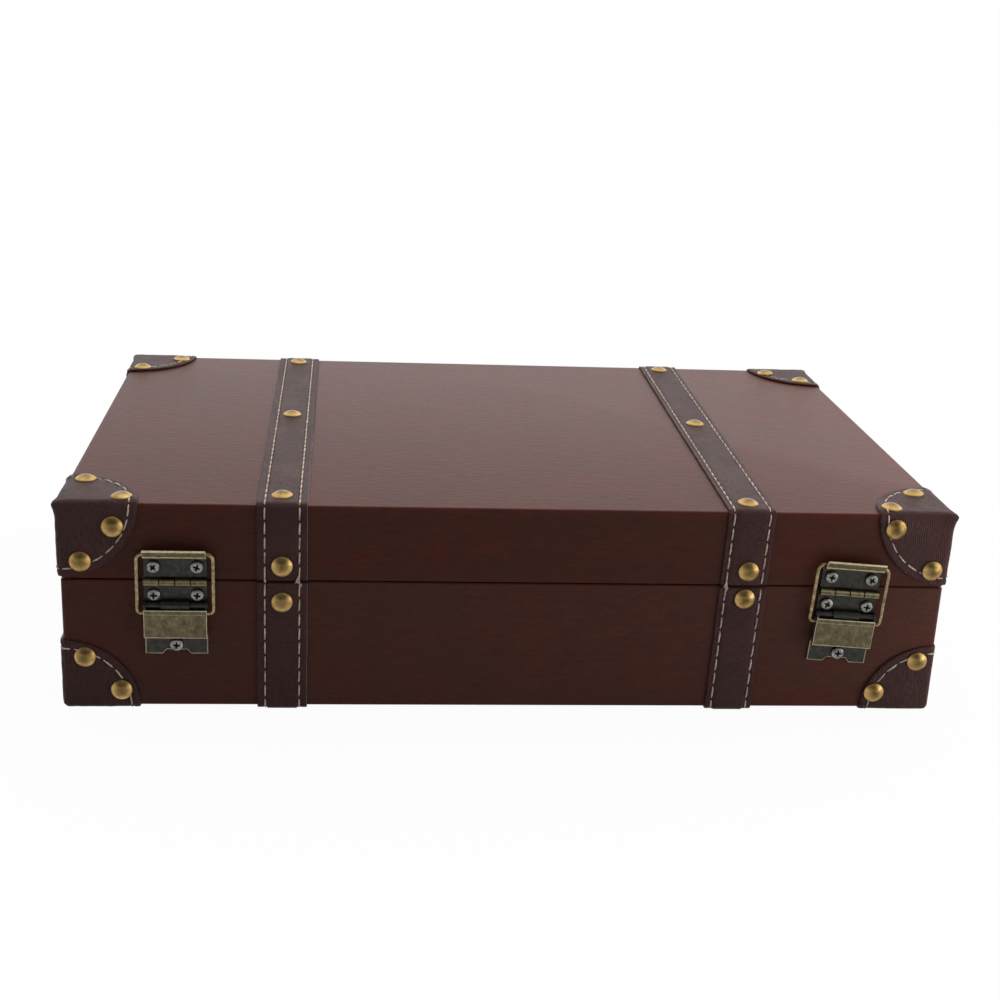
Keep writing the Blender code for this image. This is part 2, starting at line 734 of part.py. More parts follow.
def add_latch_plate(side, frame):
    """The lower plate: two curled knuckles, three screw holes and a roll for the lever's pin."""
    name = side + "_latch_plate"
    half = LATCH_WIDTH / 2
    path = [(SHEET_MID, -LATCH_PLATE_DROP)] + knuckle_path(True)
    mesh = mesh_of(name, lambda shape: loft(shape, sheet_rings(path, -half, half)))
    plate = add_object(name, mesh, DARK_METAL, frame)
    reach = 2 * (KNUCKLE_MID_OUT + KNUCKLE_RADIUS)
    cutter = knuckle_cutter(
        name + "_notches", frame, (0.0, 0.0, 0.0), LATCH_WIDTH, KNUCKLE_COUNT, 1,
        -KNUCKLE_CLEAR, 2 * KNUCKLE_CLEAR, reach,
    )
    add_boolean(plate, cutter, "DIFFERENCE")
    spots = [
        ((place * LATCH_SCREW_SPREAD, -LATCH_SCREW_DROP), SCREW_HOLE_RADIUS, -reach, reach)
        for place in (-1, 1)
    ]
    spots.append(((0.0, -LOW_SCREW_DROP), SCREW_HOLE_RADIUS, -reach, reach))
    add_boolean(plate, hole_cutter(name + "_holes", frame, (0.0, 0.0, 0.0), spots), "DIFFERENCE")

    def notch(shape):
        foot = -LATCH_PLATE_DROP - NOTCH_DEPTH
        slope = NOTCH_HALF_WIDTH - NOTCH_TOP_HALF_WIDTH
        outline = (
            (-NOTCH_HALF_WIDTH - slope, foot),
            (NOTCH_HALF_WIDTH + slope, foot),
            (NOTCH_TOP_HALF_WIDTH, -LATCH_PLATE_DROP + NOTCH_DEPTH),
            (-NOTCH_TOP_HALF_WIDTH, -LATCH_PLATE_DROP + NOTCH_DEPTH),
        )
        loft(shape, [[(x, y, z) for x, z in outline] for y in (-reach, reach)])

    notch_guide = add_object(name + "_notch", mesh_of(name + "_notch", notch), DARK_METAL, frame)
    add_boolean(plate, as_guide(notch_guide), "DIFFERENCE")
    centre = (PIVOT_OUT, -PIVOT_DROP)
    roll = [(SHEET_MID, -PIVOT_DROP + ROLL_MID_RADIUS)]
    roll += arc(centre, ROLL_MID_RADIUS, 90, 90 - PIVOT_ROLL_WRAP)
    width = PIVOT_ROLL_HALF_WIDTH
    roll_mesh = mesh_of(
        name + "_roll", lambda shape: loft(shape, sheet_rings(roll, -width, width))
    )
    add_boolean(plate, as_guide(add_object(name + "_roll", roll_mesh, DARK_METAL, frame)), "UNION")
    return plate


def add_lever(side, frame):
    """The lever: a plate with two side flanges that hang on the pin."""
    name = side + "_lever"
    half = LATCH_WIDTH / 2
    pivot = Vector((0.0, -PIVOT_OUT, -PIVOT_DROP))
    outer_out = LEVER_INNER_OUT + SHEET_THICKNESS
    back_out = PIVOT_OUT - LEVER_LUG_RADIUS
    outline = [
        (outer_out, -LEVER_BOTTOM_DROP),
        (outer_out, -LEVER_TOP_DROP),
        (PIVOT_OUT + LEVER_LUG_RADIUS, -LEVER_TOP_DROP),
    ]
    outline += arc((PIVOT_OUT, -PIVOT_DROP), LEVER_LUG_RADIUS, 0, 180)
    outline += [
        (back_out, -LEVER_FLANGE_STRAIGHT_DROP),
        (LEVER_FLANGE_FOOT_OUT, -LEVER_BOTTOM_DROP),
    ]

    def local(out, height, across):
        return (across, -out - pivot.y, height - pivot.z)

    mesh = mesh_of(
        name,
        lambda shape: loft(
            shape, [[local(out, z, x) for out, z in outline] for x in (-half, half)]
        ),
    )
    lever = add_object(name, mesh, BRONZE, frame, pivot)
    inner = half - SHEET_THICKNESS
    far_back = -outer_out
    hollow = [
        (far_back, -2 * LEVER_BOTTOM_DROP),
        (LEVER_INNER_OUT, -2 * LEVER_BOTTOM_DROP),
        (LEVER_INNER_OUT, -LEVER_TOP_DROP),
        (2 * outer_out, -LEVER_TOP_DROP),
        (2 * outer_out, 0.0),
        (far_back, 0.0),
    ]
    hollow_mesh = mesh_of(
        name + "_hollow",
        lambda shape: loft(shape, [[local(out, z, x) for out, z in hollow] for x in (-inner, inner)]),
    )
    hollow_guide = as_guide(add_object(name + "_hollow", hollow_mesh, BRONZE, frame, pivot))
    add_boolean(lever, hollow_guide, "DIFFERENCE")

    def bores(shape):
        for out, z in ((PIVOT_OUT, -PIVOT_DROP), (PIVOT_OUT, -BAIL_PIVOT_DROP)):
            centre = Vector((0.0, -out, z)) - pivot
            matrix = Matrix.Translation(centre) @ facing((1.0, 0.0, 0.0))
            turned(shape, [(HOLE_IN_ROLL, -LATCH_WIDTH), (HOLE_IN_ROLL, LATCH_WIDTH)], PIN_SIDES, matrix)

    bore_guide = add_object(name + "_bores", mesh_of(name + "_bores", bores), BRONZE, frame, pivot)
    add_boolean(lever, as_guide(bore_guide), "DIFFERENCE")
    return lever


def add_bail(side, lever):
    """The wire loop: its ends turn in through the lever and its top bar lies in the hook."""
    foot = Vector((0.0, 0.0, PIVOT_DROP - BAIL_PIVOT_DROP))
    bar_rise = HOOK_RISE - BAIL_BAR_DROP + BAIL_PIVOT_DROP
    lean = (BAIL_BAR_OUT - PIVOT_OUT) / bar_rise
    end_x = LATCH_WIDTH / 2 - SHEET_THICKNESS - BAIL_END_OVERRUN
    half = [(end_x, 0.0)]
    foot_centre = (BAIL_HALF_WIDTH - BAIL_FOOT_RADIUS, BAIL_FOOT_RADIUS)
    half += arc(foot_centre, BAIL_FOOT_RADIUS, -90, 0)
    top_centre = (BAIL_HALF_WIDTH - BAIL_TOP_RADIUS, bar_rise - BAIL_TOP_RADIUS)
    half += arc(top_centre, BAIL_TOP_RADIUS, 0, 90, BAIL_CORNER_STEP)
    right = [(x, -lean * z, z) for x, z in half]
    left = [(-x, y, z) for x, y, z in reversed(right)]
    name = side + "_bail"
    curve = tube_curve(name, right + left, BAIL_WIRE_RADIUS)
    return add_object(name, curve, BRASS, lever, foot)


def add_latch(side, frame, lid_frame, screw, turns):
    """One toggle latch: keeper on the lid, plate, lever, pin and bail on the base."""
    add_keeper(side, lid_frame)
    add_latch_plate(side, frame)
    lever = add_lever(side, frame)
    add_bail(side, lever)
    pin = pin_mesh(side + "_lever_pin", LATCH_WIDTH)
    add_object(side + "_lever_pin", pin, DARK_METAL, frame, (0.0, -PIVOT_OUT, -PIVOT_DROP))
    seat = -SHEET_FACE - GAP
    spread = LATCH_SCREW_SPREAD
    spots = (
        ("_keeper_screw_left", lid_frame, -spread, KEEPER_SCREW_RISE),
        ("_keeper_screw_right", lid_frame, spread, KEEPER_SCREW_RISE),
        ("_latch_screw_left", frame, -spread, -LATCH_SCREW_DROP),
        ("_latch_screw_right", frame, spread, -LATCH_SCREW_DROP),
        ("_latch_screw_low", frame, 0.0, -LOW_SCREW_DROP),
    )
    for (word, parent, x, z), turn in zip(spots, turns):
        add_screw(side + word, screw, parent, (x, seat, z), turn)


def latch_hole_spots(places):
    """Blind screw holes through the leather and into the front board."""
    return [(place, SCREW_HOLE_RADIUS, -SHEET_FACE, SCREW_HOLE_DEPTH) for place in places]


def turned_place(frame_x, frame_z, tilt, x, z):
    """A latch place in the box's own upright frame."""
    return (
        frame_x + x * cos(tilt) + z * sin(tilt),
        frame_z - x * sin(tilt) + z * cos(tilt),
    )


def hinge_leaf(name, frame, turn, kept, screw_x):
    """A butt hinge leaf on the back face: a plate, its curl and two screw holes."""
    half = HINGE_WIDTH / 2
    path = [(SHEET_MID, turn * HINGE_LEAF_HEIGHT)]
    path += arc((HINGE_AXIS_OUT, 0.0), ROLL_MID_RADIUS, 180, 180 + turn * HINGE_WRAP)
    rings = [[(-x, -y, z) for x, y, z in ring] for ring in sheet_rings(path, -half, half)]
    shift = Vector((0.0, -HINGE_AXIS_OUT, 0.0))
    rings = [[Vector(point) + shift for point in ring] for ring in rings]
    leaf = add_object(name, mesh_of(name, lambda shape: loft(shape, rings)), BRONZE, frame)
    clear = ROLL_MID_RADIUS + SHEET_THICKNESS / 2 + GAP
    reach = 2 * clear
    low, high = sorted((turn * clear, -2 * turn * clear))
    cutter = knuckle_cutter(
        name + "_notches", frame, (0.0, 0.0, 0.0), HINGE_WIDTH, HINGE_KNUCKLE_COUNT, kept,
        low, high, reach,
    )
    add_boolean(leaf, cutter, "DIFFERENCE")
    spots = [
        ((x, turn * HINGE_SCREW_HEIGHT), SCREW_HOLE_RADIUS, -reach, reach) for x in screw_x
    ]
    add_boolean(leaf, hole_cutter(name + "_holes", frame, (0.0, 0.0, 0.0), spots), "DIFFERENCE")
    return leaf


def add_heel(leaf, frame):
    """A short heel on the lid leaf's knuckle, which meets the base leaf when the lid is open."""
    width = HINGE_WIDTH / HINGE_KNUCKLE_COUNT / 2 - KNUCKLE_SIDE_GAP
    root = ROLL_MID_RADIUS
    thick = HINGE_HEEL_HALF_THICKNESS
    turn = Matrix.Rotation(HEEL_ANGLE, 4, "X")

    def build(shape):
        corners = ((root, -thick), (HINGE_HEEL_REACH, -thick), (HINGE_HEEL_REACH, thick), (root, thick))
        loft(shape, [[turn @ Vector((x, y, z)) for y, z in corners] for x in (-width, width)])

    guide = add_object(leaf.name + "_heel", mesh_of(leaf.name + "_heel", build), BRONZE, frame)
    add_boolean(leaf, as_guide(guide), "UNION")


def add_hinge(side, base_frame, lid_frame, screw):
    """A back hinge: two leaves, their pin and four screws."""
    spread = HINGE_SCREW_SPREAD
    screw_x = (-spread, spread)
    hinge_leaf(side + "_hinge_base_leaf", base_frame, -1, 0, screw_x)
    lid_leaf = hinge_leaf(side + "_hinge_lid_leaf", lid_frame, 1, 1, screw_x)
    add_heel(lid_leaf, lid_frame)
    pin = pin_mesh(side + "_hinge_pin", HINGE_WIDTH)
    add_object(side + "_hinge_pin", pin, BRONZE, base_frame)
    seat = SHEET_FACE + GAP - HINGE_AXIS_OUT
    seats = [(parent, side_z, x) for parent, side_z in ((base_frame, -1), (lid_frame, 1)) for x in screw_x]
    for number, (parent, side_z, x) in enumerate(seats):
        place = (x, seat, side_z * HINGE_SCREW_HEIGHT)
        name = f"{side}_hinge_screw_{number + 1}"
        add_screw(name, screw, parent, place, HINGE_SCREW_TURNS[number], True)


def corner_nails(side_x, side_y, upside_down):
    """Nail places round one corner: two on each upright face and two on the lid's top."""
    rise = GAP + CORNER_THICKNESS
    x = side_x * BODY_WIDTH / 2
    y = MIDDLE_Y + side_y * BODY_DEPTH / 2
    lid_far = LEFT_LID_NAIL_FAR if side_x < 0 else RIGHT_LID_NAIL_FAR
    lid_drop = LEFT_LID_NAIL_DROP if side_x < 0 else RIGHT_LID_NAIL_DROP
    top_far = LEFT_TOP_NAIL_FAR if side_x < 0 else RIGHT_TOP_NAIL_FAR
    base_far = LEFT_BASE_NAIL_FAR if side_x < 0 else RIGHT_BASE_NAIL_FAR
    nails = []
    if upside_down:
        pairs = ((lid_far, TOP_Z - lid_drop), (LID_NAIL_SIDE, TOP_Z - LOW_LID_NAIL_DROP))
    else:
        pairs = (
            (base_far, BODY_BOTTOM + BASE_NAIL_NEAR),
            (BASE_NAIL_SIDE, BODY_BOTTOM + BASE_NAIL_RISE),
        )
    for along, height in pairs:
        end_along = max(along, END_NAIL_SIDE)
        nails.append(((x - side_x * along, y + side_y * rise, height), (0.0, side_y, 0.0)))
        nails.append(((x + side_x * rise, y - side_y * end_along, height), (side_x, 0.0, 0.0)))
    if upside_down:
        for across, along in ((TOP_NAIL_ACROSS, TOP_NAIL_NEAR), (LID_NAIL_SIDE, top_far)):
            place = (x - side_x * across, y - side_y * along, TOP_Z + rise - TOP_NAIL_SINK)
            nails.append((place, (0.0, 0.0, 1.0)))
    return nails


def add_corners(prefix, parent, shift, upside_down):
    """Four leather corners, cut from one skin by a ball at each corner."""
    wall = LID_HEIGHT if upside_down else BASE_HEIGHT
    floor_z = TOP_Z if upside_down else BODY_BOTTOM
    base_size = (BASE_CORNER_WIDTH, BASE_CORNER_REACH, BASE_CORNER_RISE)
    lid_size = (LID_CORNER_WIDTH, LID_CORNER_REACH, LID_CORNER_DROP)
    size = lid_size if upside_down else base_size
    for depth_word, side_y in (("front", -1), ("back", 1)):
        for side_word, side_x in (("left", -1), ("right", 1)):
            name = f"{prefix}_{depth_word}_{side_word}_corner"
            skin = corner_skin_mesh(name, wall, upside_down, floor_z)
            item = add_object(name, skin, TRIM_LEATHER, parent, shift)
            centre = Vector((side_x * BODY_WIDTH / 2, MIDDLE_Y + side_y * BODY_DEPTH / 2, floor_z))

            def ball(shape):
                half_step = Matrix.Rotation(pi / BALL_SEGMENTS, 4, "Z")
                matrix = Matrix.Translation(centre) @ Matrix.Diagonal((*size, 1.0)) @ half_step
                bmesh.ops.create_uvsphere(
                    shape, u_segments=BALL_SEGMENTS, v_segments=BALL_RINGS, radius=1.0, matrix=matrix
                )

            guide = add_object(name + "_ball", mesh_of(name + "_ball", ball), TRIM_LEATHER, parent, shift)
            add_boolean(item, as_guide(guide), "INTERSECT")
            add_nails(item, corner_nails(side_x, side_y, upside_down))


def add_straps(parent, lid, shift):
    """Two straps round the base and two round the lid, cut at the seam.

    Each strap's middle is given at the rim, the front edge, the front foot and the back.
    """
    left = LEFT_X + LEFT_STRAP_INSET
    right_rim = RIGHT_X - RIGHT_STRAP_RIM_INSET
    right_front = RIGHT_X - RIGHT_STRAP_FRONT_INSET
    right_back = RIGHT_X - RIGHT_STRAP_BACK_INSET
    right_foot = RIGHT_X - RIGHT_STRAP_FOOT_INSET
    rows = (
        ("left", LEFT_STRAP_WIDTH, (left, left, left, left), LEFT_BASE_NAIL_DROP, 0.0),
        (
            "right", RIGHT_STRAP_WIDTH, (right_rim, right_front, right_foot, right_back),
            RIGHT_BASE_NAIL_DROP, RIGHT_LID_NAIL_SHIFT,
        ),
    )
    for word, width, (rim_x, front_x, foot_x, back_x), base_drop, nail_shift in rows:
        name = f"base_{word}_strap"
        mesh = strap_mesh(name, width, BODY_BOTTOM, 1, BASE_HEIGHT, rim_x, foot_x, back_x)
        strap = add_object(name, mesh, TRIM_LEATHER, parent)
        height = SEAM_Z - base_drop
        add_nails(strap, (
            ((rim_x, FRONT_Y - STRAP_RISE, height), (0.0, -1.0, 0.0)),
            ((back_x, BACK_Y + STRAP_RISE, height), (0.0, 1.0, 0.0)),
        ))
        name = f"lid_{word}_strap"
        mesh = strap_mesh(name, width, TOP_Z, -1, LID_HEIGHT, rim_x, front_x, back_x)
        strap = add_object(name, mesh, TRIM_LEATHER, lid, shift)
        height = SEAM_Z + LID_STRAP_NAIL_RISE
        nails = [
            ((rim_x + nail_shift, FRONT_Y - STRAP_RISE, height), (0.0, -1.0, 0.0)),
            ((back_x, BACK_Y + STRAP_RISE, height), (0.0, 1.0, 0.0)),
        ]
        near_share = STRAP_TOP_NAIL_INSET / BODY_DEPTH
        for share in (near_share, STRAP_MIDDLE_NAIL_SHARE, 1 - near_share):
            x = front_x + (back_x - front_x) * share
            place = (x, FRONT_Y + BODY_DEPTH * share, TOP_Z + STRAP_RISE - TOP_NAIL_SINK)
            nails.append((place, (0.0, 0.0, 1.0)))
        add_nails(strap, nails)


def main():
    clear_scene()
    base = add_frame("base_frame", (0.0, 0.0, 0.0))
    hinge_place = Vector((0.0, BACK_Y + HINGE_AXIS_OUT, SEAM_Z))
    lid = add_frame("lid_hinge_axis", hinge_place)
    to_lid = -hinge_place
    screw = screw_mesh()

    latches = (
        ("left", LEFT_X + LEFT_LATCH_INSET, SEAM_Z - LEFT_LATCH_DROP, 0.0, LEFT_SCREW_TURNS),
        (
            "right", RIGHT_X - RIGHT_LATCH_INSET, SEAM_Z - RIGHT_LATCH_DROP,
            radians(RIGHT_LATCH_TILT), RIGHT_SCREW_TURNS,
        ),
    )
    lid_front_places = []
    base_front_places = []
    for side, x, z, tilt, turns in latches:
        frame = add_frame(side + "_latch_frame", (x, FRONT_Y, z), tilt, base)
        lid_frame = add_frame(
            side + "_keeper_frame", Vector((x, FRONT_Y, z)) - hinge_place, tilt, lid
        )
        add_latch(side, frame, lid_frame, screw, turns)
        for place in (-LATCH_SCREW_SPREAD, LATCH_SCREW_SPREAD):
            lid_front_places.append(turned_place(x, z, tilt, place, KEEPER_SCREW_RISE))
            base_front_places.append(turned_place(x, z, tilt, place, -LATCH_SCREW_DROP))
        base_front_places.append(turned_place(x, z, tilt, 0.0, -LOW_SCREW_DROP))

    back_spots = {-1: [], 1: []}
    hinge_x = RIGHT_X - HINGE_INSET
    for side, x in (("left", -hinge_x), ("right", hinge_x)):
        base_frame = add_frame(side + "_hinge_frame", hinge_place + Vector((x, 0.0, 0.0)), 0.0, base)
        lid_frame = add_frame(side + "_hinge_lid_frame", (x, 0.0, 0.0), 0.0, lid)
        add_hinge(side, base_frame, lid_frame, screw)
        for turn in (-1, 1):
            for spread in (-HINGE_SCREW_SPREAD, HINGE_SCREW_SPREAD):
                place = (x + spread, SEAM_Z + turn * HINGE_SCREW_HEIGHT)
                back_spots[turn].append(
                    (place, SCREW_HOLE_RADIUS, -SCREW_HOLE_DEPTH, SHEET_FACE)
                )

    front = (0.0, FRONT_Y, 0.0)
    back = (0.0, BACK_Y, 0.0)
    base_front = hole_cutter("base_front_holes", base, front, latch_hole_spots(base_front_places))
    base_back = hole_cutter("base_back_holes", base, back, back_spots[-1])
    lid_front = hole_cutter(
        "lid_front_holes", lid, Vector(front) - hinge_place, latch_hole_spots(lid_front_places)
    )
    lid_back = hole_cutter("lid_back_holes", lid, Vector(back) - hinge_place, back_spots[1])

    here = Vector((0.0, 0.0, 0.0))
    cover = cover_mesh("base_leather_cover", BASE_HEIGHT, False, BODY_BOTTOM)
    cover = add_object("base_leather_cover", smooth(cover), LEATHER, base)
    add_boolean(cover, base_front, "DIFFERENCE")
    add_boolean(cover, base_back, "DIFFERENCE")
    lining = lining_mesh("base_lining", BASE_HEIGHT, False, BODY_BOTTOM)
    add_object("base_lining", lining, LINING, base)
    add_boards("base", base, here, BODY_BOTTOM, 1, BASE_HEIGHT, base_front, base_back)

    cover = cover_mesh("lid_leather_cover", LID_HEIGHT, True, TOP_Z)
    cover = add_object("lid_leather_cover", smooth(cover), LEATHER, lid, to_lid)
    add_boolean(cover, lid_front, "DIFFERENCE")
    add_boolean(cover, lid_back, "DIFFERENCE")
    lining = lining_mesh("lid_lining", LID_HEIGHT, True, TOP_Z)
    add_object("lid_lining", lining, LINING, lid, to_lid)
    add_boards("lid", lid, to_lid, TOP_Z, -1, LID_HEIGHT, lid_front, lid_back)

    add_straps(base, lid, to_lid)
    add_corners("base", base, here, False)
    add_corners("lid", lid, to_lid, True)


main()
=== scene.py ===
import json
import random
from bisect import bisect_right
from itertools import product
from math import asin, ceil, cos, exp, pi, radians, sin, sqrt

import bmesh
import bpy
from mathutils import Matrix, Vector, noise


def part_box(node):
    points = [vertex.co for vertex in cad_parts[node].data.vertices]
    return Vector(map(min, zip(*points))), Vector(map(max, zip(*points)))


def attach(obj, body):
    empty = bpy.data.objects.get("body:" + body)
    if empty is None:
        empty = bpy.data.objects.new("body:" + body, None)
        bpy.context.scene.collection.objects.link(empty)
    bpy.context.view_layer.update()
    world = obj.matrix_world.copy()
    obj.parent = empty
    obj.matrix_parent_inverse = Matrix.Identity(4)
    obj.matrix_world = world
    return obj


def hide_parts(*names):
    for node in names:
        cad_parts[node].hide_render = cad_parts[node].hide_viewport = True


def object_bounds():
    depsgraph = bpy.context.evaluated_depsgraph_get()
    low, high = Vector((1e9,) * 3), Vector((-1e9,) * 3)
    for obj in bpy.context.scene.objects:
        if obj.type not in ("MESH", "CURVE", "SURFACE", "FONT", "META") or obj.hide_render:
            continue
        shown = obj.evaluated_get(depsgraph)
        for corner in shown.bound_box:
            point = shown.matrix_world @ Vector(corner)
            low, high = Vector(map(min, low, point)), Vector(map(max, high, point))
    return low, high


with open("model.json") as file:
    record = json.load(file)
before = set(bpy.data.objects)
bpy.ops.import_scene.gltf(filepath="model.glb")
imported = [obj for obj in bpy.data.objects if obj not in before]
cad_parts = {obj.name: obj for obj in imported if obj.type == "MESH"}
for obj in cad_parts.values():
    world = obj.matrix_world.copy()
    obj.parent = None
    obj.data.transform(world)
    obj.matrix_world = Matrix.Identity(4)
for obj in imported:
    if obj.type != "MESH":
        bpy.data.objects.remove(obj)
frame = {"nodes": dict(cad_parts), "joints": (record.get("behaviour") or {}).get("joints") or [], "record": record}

# Wooden suitcase box: the leather, stitches, nails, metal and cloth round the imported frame.
# Units are metres, Z is up, X runs along the front, and Y runs from the front to the back.

CAD_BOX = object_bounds()

# Body, read from the frame
(LEFT_X, FRONT_Y, BODY_BOTTOM), (RIGHT_X, BACK_Y, RIM_Z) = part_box("base_leather_cover")
LID_Z, TOP_Z = [corner.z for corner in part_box("lid_leather_cover")]
MIDDLE_Y = (FRONT_Y + BACK_Y) / 2
SEAM_Z = (RIM_Z + LID_Z) / 2
BODY_WIDTH = RIGHT_X - LEFT_X
BODY_DEPTH = BACK_Y - FRONT_Y
GAP = 0.0003

# Each tray's closed side, the way from it to the rim, and its rim
TRAYS = (("base", BODY_BOTTOM, 1, RIM_Z), ("lid", TOP_Z, -1, LID_Z))

# Leather cover and cloth lining
COVER_THICKNESS = 0.0009
EDGE_RADIUS = 0.0016
COVER_EDGE_RADIUS = 0.0010
CORNER_RADIUS = 0.0020
RIM_RADIUS = 0.0009
LINING_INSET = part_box("base_lining")[0].x - LEFT_X
LINING_THICKNESS = 0.0006
LINING_RADIUS = 0.0012
COVER_LIP = LINING_INSET - GAP

# Straps: each one's middle is given at the rim, the front edge, the front foot and the back
STRAP_MIDDLE = {
    "left": [LEFT_X + inset for inset in (0.0919, 0.0919, 0.0919, 0.0903)],
    "right": [RIGHT_X - inset for inset in (0.0898, 0.0887, 0.0915, 0.0857)],
}
STRAP_WIDTH = {"left": 0.0213, "right": 0.0206}
STRAP_SEAM_INSET = {"left": 0.0034, "right": 0.0025}
STRAP_THICKNESS = 0.0010
STRAP_FACE = GAP + STRAP_THICKNESS
STRAP_EDGE_THICKNESS = 0.0007
STRAP_FOOT_SWELL = 0.5
STRAP_EDGE_ROUND = 0.00025
STRAP_CROWN_INSET = 0.0046
STRAP_SEAM_DIP = 0.00022
STRAP_SEAM_SIDE = 0.0005
STRAP_SHOULDER = 0.0014
STRAP_SHOULDER_RISE = 0.00004
STRAP_WOBBLE = 0.00022
STRAP_STATION = 0.0030
STRAP_END_SETBACK = 0.0005

# Leather corners
PAD_THICKNESS = 0.0010
PAD_FACE = GAP + PAD_THICKNESS
PAD_ROUND = 0.0006
PAD_REACH = {"lid": (0.0328, 0.0350, 0.0324), "base": (0.0316, 0.0312, 0.0302)}
PAD_UNDER_SHARES = (1.0, 0.9, 0.7, 0.5, 0.3, 0.15)
PAD_PEAK_SHARE = 0.001
FLUSH_SHARE = 0.75
PAD_SEAM_INSET = 0.0036
PAD_SEAM_DIP = 0.00030
PAD_SEAM_WIDTH = 0.0006
PAD_SWELL = 0.00012
PAD_SWELL_WIDTH = 0.0011
PAD_TIP_REACH = 0.0019
PAD_TIP_SPREAD = 0.0075
PAD_TIP_LEAN = Vector((0.72, 0.62, -0.12))
PAD_COLUMNS = 26
PAD_RINGS = 30

# Stitches
STITCH_PITCH = 0.0066
STITCH_GAP = 0.0007
STITCH_RADIUS = 0.00041
STITCH_DIVE = 0.00030
STITCH_SKEW = 0.00022
STITCH_RINGS = 9
STITCH_SIDES = 8
STITCH_FLOOR = CAD_BOX[0].z + 0.00002
STITCH_HOLE = ((0.00050, -GAP / 2), (0.00045, GAP / 12), (0.0, GAP / 9))
HOLE_SIDES = 10

# Frayed ends at the cuts in front: which row of stitches, their size and their slant
TUFT_ENDS = {
    ("left", "lid"): ((-1, 0.45, 0.22), (1, 1.0, -0.24)), ("left", "base"): ((1, 0.75, 0.30),),
    ("right", "lid"): ((-1, 0.75, -0.12),), ("right", "base"): ((-1, 0.55, 0.15),),
}
TUFT_LENGTH = 0.0040
TUFT_THREADS = 22
TUFT_SPREAD = 0.26
TUFT_RADIUS = 0.00014
TUFT_STEPS = 4
TUFT_SIDES = 6

# Dome nails
NAIL_RADIUS = 0.0045
NAIL_HEIGHT = 0.0025
NAIL_SINK = 0.0004
NAIL_WAIST = 0.00060
NAIL_CROWN = 1.95
NAIL_UNDERCUT = 0.0022
NAIL_SIDES = 40
NAIL_RINGS = 9
NAIL_TILT = 2.5
TOP_NAIL_SINK = 0.0004
END_NAIL_SIDE = 0.0150

# Corner nails by end: along the side, and from the lid's top or the base's bottom
SIDE_NAILS = {
    ("lid", -1): ((0.0224, 0.0097), (0.0088, 0.0252)), ("lid", 1): ((0.0254, 0.0063), (0.0069, 0.0252)),
    ("base", -1): ((0.0240, 0.0080), (0.0092, 0.0232)), ("base", 1): ((0.0259, 0.0080), (0.0080, 0.0232)),
}

# Nails on the lid's corners by end and side: in along X and along Y
TOP_NAILS = {
    (-1, -1): ((0.0256, 0.0055), (0.0076, 0.0275)), (1, -1): ((0.0261, 0.0055), (0.0097, 0.0250)),
    (-1, 1): ((0.0256, 0.0100), (0.0068, 0.0293)), (1, 1): ((0.0250, 0.0121), (0.0086, 0.0268)),
}

# Strap nails: above the seam in front and at the back, and how far the front one stands to the right
STRAP_NAILS = {
    ("left", "base"): (-0.0090, 0.0), ("right", "base"): (-0.0055, 0.0009),
    ("left", "lid"): (0.0072, 0.0), ("right", "lid"): (0.0072, 0.0015),
}
STRAP_TOP_NAIL_INSET = {"left": 0.0097, "right": 0.0084}
STRAP_BACK_NAIL_INSET = 0.0100
STRAP_MIDDLE_NAIL_SHARE = {"left": 0.534, "right": 0.523}
STRAP_TOP_NAIL_SHIFT = 0.0004

# Latches, measured from the lever's pin
LATCH_WIDTH = 0.0262
SHEET_THICKNESS = 0.0008
PIVOT_DROP = 0.0100
PIVOT_OUT = 0.0030
HOOK_RISE = 0.0132
HOOK_LOW = 0.0204
HOOK_BEND = 0.0218
HOOK_TOP = 0.0256
LEVER_LOW = -0.0143
LEVER_HIGH = -0.0017
TAB_TOP = -0.0140
TAB_LOW = -0.0231
BAND_LOW = HOOK_LOW - 0.0001
EAR_LOW = LEVER_HIGH + 0.0003
KNUCKLE_REACH = 0.0017
KNUCKLE_BACK = 0.0013
PLATE_SIDE = 0.0127
LEVER_SIDE = 0.0129
LINE_BLUR = 0.00012
BAIL_WIRE_RADIUS = 0.00085
BAIL_PIVOT_DROP = 0.0136
BAIL_HALF_WIDTH = 0.0158
BAIL_BAR_DROP = 0.0005
BAIL_BAR_OUT = 0.0025
BAIL_TOP_RADIUS = 0.0028
BAIL_FOOT_RADIUS = 0.0017
BAIL_END_OVERRUN = 0.0005
WIRE_SIDES = 16
EDGE_BEVEL = 0.00020

# Screws and pins
SCREW_HEAD_RADIUS = 0.00280
SCREW_HEAD_HEIGHT = 0.0014
SCREW_SHANK = [(0.0, -0.0062), (0.0010, -0.0047), (0.0010, 0.0)]
SCREW_SIDES = 32
CROSS_HALF_LENGTH = 0.0016
CROSS_HALF_WIDTH = 0.00054
CROSS_DEPTH = 0.0009
SCREW_TURNS = {
    "left_keeper_screw_left": 40, "left_keeper_screw_right": 22,
    "left_latch_screw_left": 3, "left_latch_screw_right": 10, "left_latch_screw_low": 6,
    "right_keeper_screw_left": 12, "right_keeper_screw_right": 35,
    "right_latch_screw_left": 28, "right_latch_screw_right": 8, "right_latch_screw_low": 2,
}
HINGE_SCREW_TURN = 23
PIN_RADIUS = 0.0009
LEVER_PIN_RADIUS = 0.0012
PIN_HEAD_RADIUS = 0.00125
PIN_HEAD_THICKNESS = 0.00045
PIN_ROUND = 0.00015
PIN_SIDES = 24

# Camera, fitted to the box's outlines in the photo
CAMERA_PLACE = (-0.069123, -0.748862, 0.311487)
CAMERA_RIGHT = (0.995541, -0.083201, 0.044452)
CAMERA_UP = (-0.015002, 0.325596, 0.945390)
CAMERA_LENS = 56.844
CAMERA_SENSOR = 36.0

